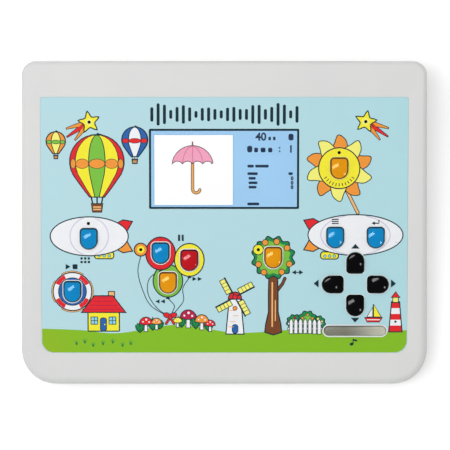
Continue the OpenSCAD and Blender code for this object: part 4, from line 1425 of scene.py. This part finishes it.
pickets = []
for number in range(7):
    u = 44.3 + 3.1 * number
    foot = hill_height(u)
    picket = [(u - 0.95, foot - 2.4), (u + 0.95, foot - 2.4), (u + 0.95, foot + 5.6),
              (u, foot + 7.2), (u - 0.95, foot + 5.6)]
    pickets.append(("white", picket, 0.45))
rails = [("white", slab(42.2, v - 0.6, 64.8, v + 0.6), 0.4) for v in (-71.2, -67.8)]
west_bush = bush((46.5, -67), 5.2, "crimson")
east_bush = bush((62, -67.4), 4.8, "lemon")
side_bushes = [first + second for first, second in zip(west_bush, east_bush)]
print_motif("print_fence",
            side_bushes + bush((55, -65.5), 6.2, "orange") + [rails, pickets], GROUND)

# %% Lighthouse
LIGHT_U = 113.4
TOWER_LOW, TOWER_HIGH = -73, -53.5
STRIPE = 3.9


def tower_half(v):
    """Half the tower's width at this height."""
    return 4.0 - 1.7 * (v - TOWER_LOW) / (TOWER_HIGH - TOWER_LOW)


def tower_part(low, high):
    """A piece of the tapered tower."""
    return [(LIGHT_U - tower_half(low), low), (LIGHT_U + tower_half(low), low),
            (LIGHT_U + tower_half(high), high), (LIGHT_U - tower_half(high), high)]


stripes = [("red", tower_part(v, v + STRIPE), 0)
           for v in (TOWER_LOW, TOWER_LOW + 2 * STRIPE, TOWER_LOW + 4 * STRIPE)]
print_motif("print_lighthouse", [
    [("white", tower_part(TOWER_LOW, TOWER_HIGH), LINE)], stripes,
    [("lemon", slab(LIGHT_U - 1.6, -53.4, LIGHT_U + 1.6, -50.2), 0.5),
     ("navy", slab(LIGHT_U - 3, -54, LIGHT_U + 3, -53.1), 0)],
    [("red", [(LIGHT_U - 2.4, -50), (LIGHT_U + 2.4, -50), (LIGHT_U, -46.8)], 0.5),
     ("navy", oval((LIGHT_U, -66.5), 0.8, points=12), 0)]], GROUND)

# %% [markdown]
# ## Level bars, signs and rings
# Over the display stands a row of rounded bars, tall and short like a sound level. Plain arrows,
# bars and a note stand by the keys, and a pale ring runs round each key.

# %% Sound-level bars
BARS_MIDDLE = 71.8
BAR_PITCH = 4.15
bars = []
for number in range(24):
    u = (number - 11.5) * BAR_PITCH
    swell = abs(math.sin(0.83 * number + 0.5)) * (0.72 + 0.28 * math.cos(0.31 * number))
    half = 2.2 + 5.4 * swell
    bars.append(("navy", slab(u - 1.0, BARS_MIDDLE - half, u + 1.0, BARS_MIDDLE + half, 0.95), 0))
print_motif("print_level_bars", [bars])

# %% Signs
SIGN_LEVEL = 22                       # above every motif's films
RING_LEVEL = 26


def pointer(center, depth, base, turn):
    """A triangle that points right at turn 0; its middle is half way along its depth."""
    return placed([(depth / 2, 0), (-depth / 2, base / 2), (-depth / 2, -base / 2)], center, turn)


up_u, up_v, _ = key_places["key_up"]
down_u, down_v, _ = key_places["key_down"]
west_u, west_v, _ = key_places["key_left"]
east_u, east_v, _ = key_places["key_right"]
forward_u, forward_v, _ = key_places["key_forward"]
rewind_u, rewind_v, _ = key_places["key_rewind"]
arrows = [pointer((up_u, up_v + 11.2), 3.1, 5.5, 90), pointer((down_u, down_v - 9.9), 3.1, 5.5, -90),
          pointer((west_u - 11, west_v + 0.6), 3.2, 5.3, 180),
          pointer((east_u + 10.3, east_v + 0.6), 3.2, 5.3, 0)]
for u, v, turn in ((forward_u + 5.2, forward_v - 12.5, 0), (rewind_u - 5.2, rewind_v - 12.6, 180)):
    arrows += [pointer((u + side * 1.75, v), 2.7, 2.7, turn) for side in (-1, 1)]
pause_bars = [slab(u, -12.4, u + 1.3, -8.2, 0.3) for u in (-30.6, -28.2)]
menu_bars = [slab(70.9, v, 75.5, v + 0.65, 0.3) for v in (-1.0, 0.35, 1.7)]
enter_sign = [stroke([(102, 1.5), (102, -0.5), (98.8, -0.5)], 0.7),
              pointer((98.3, -0.5), 2.1, 2.4, 180)]
group_sign = [slab(u, v, u + 1.5, v + 1.5, 0.4)
              for u in (-95.2, -92.8, -90.4) for v in (-27.2, -24.8)]
start_sign = [pointer((-103.4, -29.6), 3.1, 3.6, 0), slab(-100.4, -31.2, -97.2, -28, 0.4)]
sides_sign = [pointer((46, -33.4), 2.6, 3, 180), pointer((50.8, -33.4), 2.6, 3, 0),
              stroke([(46.6, -33.4), (50.2, -33.4)], 0.6)]
note_sign = [placed(oval((0, 0), 1.25, 0.95, 18), (84.4, -81.6), 20),
             slab(85.15, -81.5, 85.65, -78, 0.1),
             [(85.2, -78), (88, -78.8), (88, -79.9), (85.2, -79.1)]]
sign_layers = [
    arrows + pause_bars + menu_bars + group_sign + start_sign
    + [enter_sign[1], note_sign[0]] + sides_sign[:2],
    [enter_sign[0], note_sign[1], sides_sign[2]],
    [note_sign[2]]]
print_motif("print_signs", [[("navy", outline, 0) for outline in layer] for layer in sign_layers],
            SIGN_LEVEL)

# %% Pale rings round the keys
KEY_RING = (0.3, -0.24)               # a ring's edges, mm outside its opening
BAR_RING = (0.8, 0.02)


def ring_ink(node):
    """Paler than the sky round the black keys, lemon on the pinwheel, white round the rest."""
    if node == "key_audiometer":
        return ink["lemon"]
    return ink["halo" if slot_of_node[node] == "key_black" else "white"]


def ring(outline, edges, colour):
    """A ring-shaped film that follows an opening."""
    return film([grow(outline, edge) for edge in edges], RING_LEVEL, colour)


ring_films = [ring(outline, KEY_RING, ring_ink(node)) for node, outline in key_outline.items()]
ring_films.append(ring(bar_outline, BAR_RING, ink["white"]))
print_films("print_key_rings", ring_films)

# %% Small tufts at the front left
blades_of_grass = []
for number, u in enumerate((-98, -92.5, -87, -80.5, -74, -67.5, -62)):
    foot = (u, -82.2 + 1.3 * math.sin(number * 2.1))
    for lean in (-24, 4, 28):
        reach = 3.4 - 0.02 * abs(lean)
        leaf = placed([(-0.35, 0), (0.35, 0), (0.1, reach), (-0.1, reach)], foot, lean)
        blades_of_grass.append(("forest", leaf, 0))
print_motif("print_grass_tufts", [blades_of_grass], GROUND + 2)

# %% [markdown]
# ## The display
# The real display is a sheet of glass that glows. Its picture is drawn with the same films as
# the panel's, but in colours that give light, and it lies on the glass of the CAD model, 5 mm
# below the panel's face. A dark border is printed round the window's edge.

# %% Colours that glow
def glowing(name, hex_code, strength=1.07):
    """A lit pixel colour: dark glass that gives off this colour."""
    material, tree, shader = new_finish(name, {"IOR": 1.5, "Roughness": 0.3,
                                               "Emission Strength": strength})
    shader.inputs["Base Color"].default_value = (0.02, 0.02, 0.022, 1)
    shade_into(shader.inputs["Emission Color"], tree, Vector(linear(hex_code)[:3]),
               noise_of(tree, 30 * MM, 1.0), 0.97, 1.0)
    return material


glow = {name: glowing("lit_" + name, hex_code) for name, hex_code in {
    "blue": "#9CCBF0", "edge_blue": "#89B6E2", "white": "#FFFFFF", "navy": "#0F2A4A",
    "pink": "#F0A0BC", "rose": "#D9779C", "tan": "#E8A95A", "brown": "#7A4526",
    "outline": "#3A2A26"}.items()}

# %% Screen picture
glass_low, glass_high = panel_box("display_glass")
SCREEN_LEVEL = glass_high.z + 0.05    # just clear of the glass, mm
SCREEN_CENTER = (-0.2, 35.6)
SCREEN_HALF = (48.6, 25.8)
PICTURE = (-46.2, 11.1, 5.6, 57.7)
print("glass, mm:", [round(x, 2) for x in (*glass_low, *glass_high)])


def numeral(text, left, bottom, size, level, colour):
    """A number as a film, in the built-in font."""
    letters = bpy.data.curves.new("numeral", "FONT")
    letters.body = text
    letters.size = size
    letters.offset = 0.22                # a little bolder, mm
    letters.extrude = FILM_SHARE
    piece = bpy.data.objects.new("numeral", letters)
    piece.location = (left, bottom, level)
    scene.collection.objects.link(piece)
    dress(piece, colour)
    return piece


def dash_row(left, bottom, widths, height, level):
    """A row of rounded dashes of these widths."""
    films, u = [], left
    for width in widths:
        films.append(film([slab(u, bottom, u + width, bottom + height, height * 0.3)], level,
                          glow["navy"]))
        u += width + height * 0.55
    return films


field = slab(SCREEN_CENTER[0] - SCREEN_HALF[0], SCREEN_CENTER[1] - SCREEN_HALF[1],
             SCREEN_CENTER[0] + SCREEN_HALF[0], SCREEN_CENTER[1] + SCREEN_HALF[1])
picture_field = slab(*PICTURE)
screen = [film([field], 1, glow["blue"]), film([grow(picture_field, 0.5)], 2, glow["edge_blue"]),
          film([picture_field], 3, glow["white"])]

# %% Umbrella on the screen
UMBRELLA = (-21, 37)
CANOPY = 13.4                         # radius, mm
RIM = 8                               # the canopy ends this many degrees above level
PANELS = 4
SCALLOP_DROP = 2.4                    # a scallop's middle under its ends, mm
canopy_reach = CANOPY * math.cos(math.radians(RIM))
scallop_width = 2 * canopy_reach / PANELS
scallop_turn = math.degrees(math.atan2(SCALLOP_DROP, scallop_width / 2))
hem_height = UMBRELLA[1] + CANOPY * math.sin(math.radians(RIM))
hem = []
for panel in range(PANELS):
    middle = UMBRELLA[0] + canopy_reach - scallop_width * (panel + 0.5)
    hem += arc((middle, hem_height - SCALLOP_DROP), math.hypot(scallop_width / 2, SCALLOP_DROP),
               scallop_turn, 180 - scallop_turn, 7)[:-1]
canopy = arc(UMBRELLA, CANOPY, 180 - RIM, RIM, 26) + hem
crook = ([(UMBRELLA[0], hem_height), (UMBRELLA[0], 22.6)]
         + arc((UMBRELLA[0] + 2.4, 21.6), 2.4, 180, 350, 9))
umbrella_films = [
    film([grow(stroke(crook, 1.3), 0.45)], 4, glow["outline"]),
    film([stroke(crook, 1.3)], 5, glow["tan"]),
    film([slab(UMBRELLA[0] - 0.5, 49.5, UMBRELLA[0] + 0.5, 53.4, 0.4)], 5, glow["brown"]),
    film([grow(canopy, 0.5)], 6, glow["outline"]), film([canopy], 7, glow["pink"])]
for rib in (-1, 0, 1):
    rib_line = [(UMBRELLA[0] + rib * 6.7 * math.sin(math.radians(a)),
                 UMBRELLA[1] + 13.1 * math.cos(math.radians(a))) for a in range(0, 81, 10)]
    umbrella_films.append(film([stroke(rib_line, 0.6)], 9 + rib, glow["rose"]))
screen += umbrella_films

# %% Numbers and bars on the screen
screen += [numeral("40", 20.5, 54.2, 7.1, 4, glow["navy"]),
           numeral("1", 42.2, 46.2, 6.6, 4, glow["navy"])]
screen += [numeral("0", 43.9, v - 1.1, 3.2, 4, glow["navy"]) for v in (28.9, 25.9, 23)]
screen += dash_row(29, 54.2, (1.7, 1.7), 2.4, 4)
screen += dash_row(42.2, 54.1, (3.4,), 4.4, 4)
screen += dash_row(15, 46.2, (3.4,), 4.3, 4) + dash_row(19.6, 46.2, (2.6, 3.2, 2.8), 3.1, 4)
screen += [film([oval((36.4, v), 0.55, points=12)], 4, glow["navy"]) for v in (46.9, 49.2)]
screen += dash_row(15.2, 36.1, (4.2, 8.8), 1.8, 4)
screen += dash_row(15.2, 31.1, (6.8,), 1.8, 4) + dash_row(42.3, 31.1, (2.8,), 1.8, 4)
for v, width in ((28.9, 4.6), (25.9, 5.8), (23, 5.2)):
    screen += dash_row(16, v - 0.85, (width,), 1.7, 4)
screen += dash_row(15.2, 10.9, (7.8,), 1.8, 4)
print_films("display_picture", screen, SCREEN_LEVEL, "display_cell")

# %% Border of the window
BORDER = 1.25
west, east = window_low.x + WINDOW_FLANGE, window_high.x - WINDOW_FLANGE
south, north = window_low.y + WINDOW_FLANGE, window_high.y - WINDOW_FLANGE
outer_edge = slab(west, south, east, north, 0.4)
inner_edge = slab(west + BORDER, south + BORDER, east - BORDER, north - BORDER, 0.2)
border = film([outer_edge, inner_edge], 1, ink["navy"])
print_films("display_border", [border], window_high.z, "window")
print("window, mm:", round(east - west, 1), "x", round(north - south, 1))
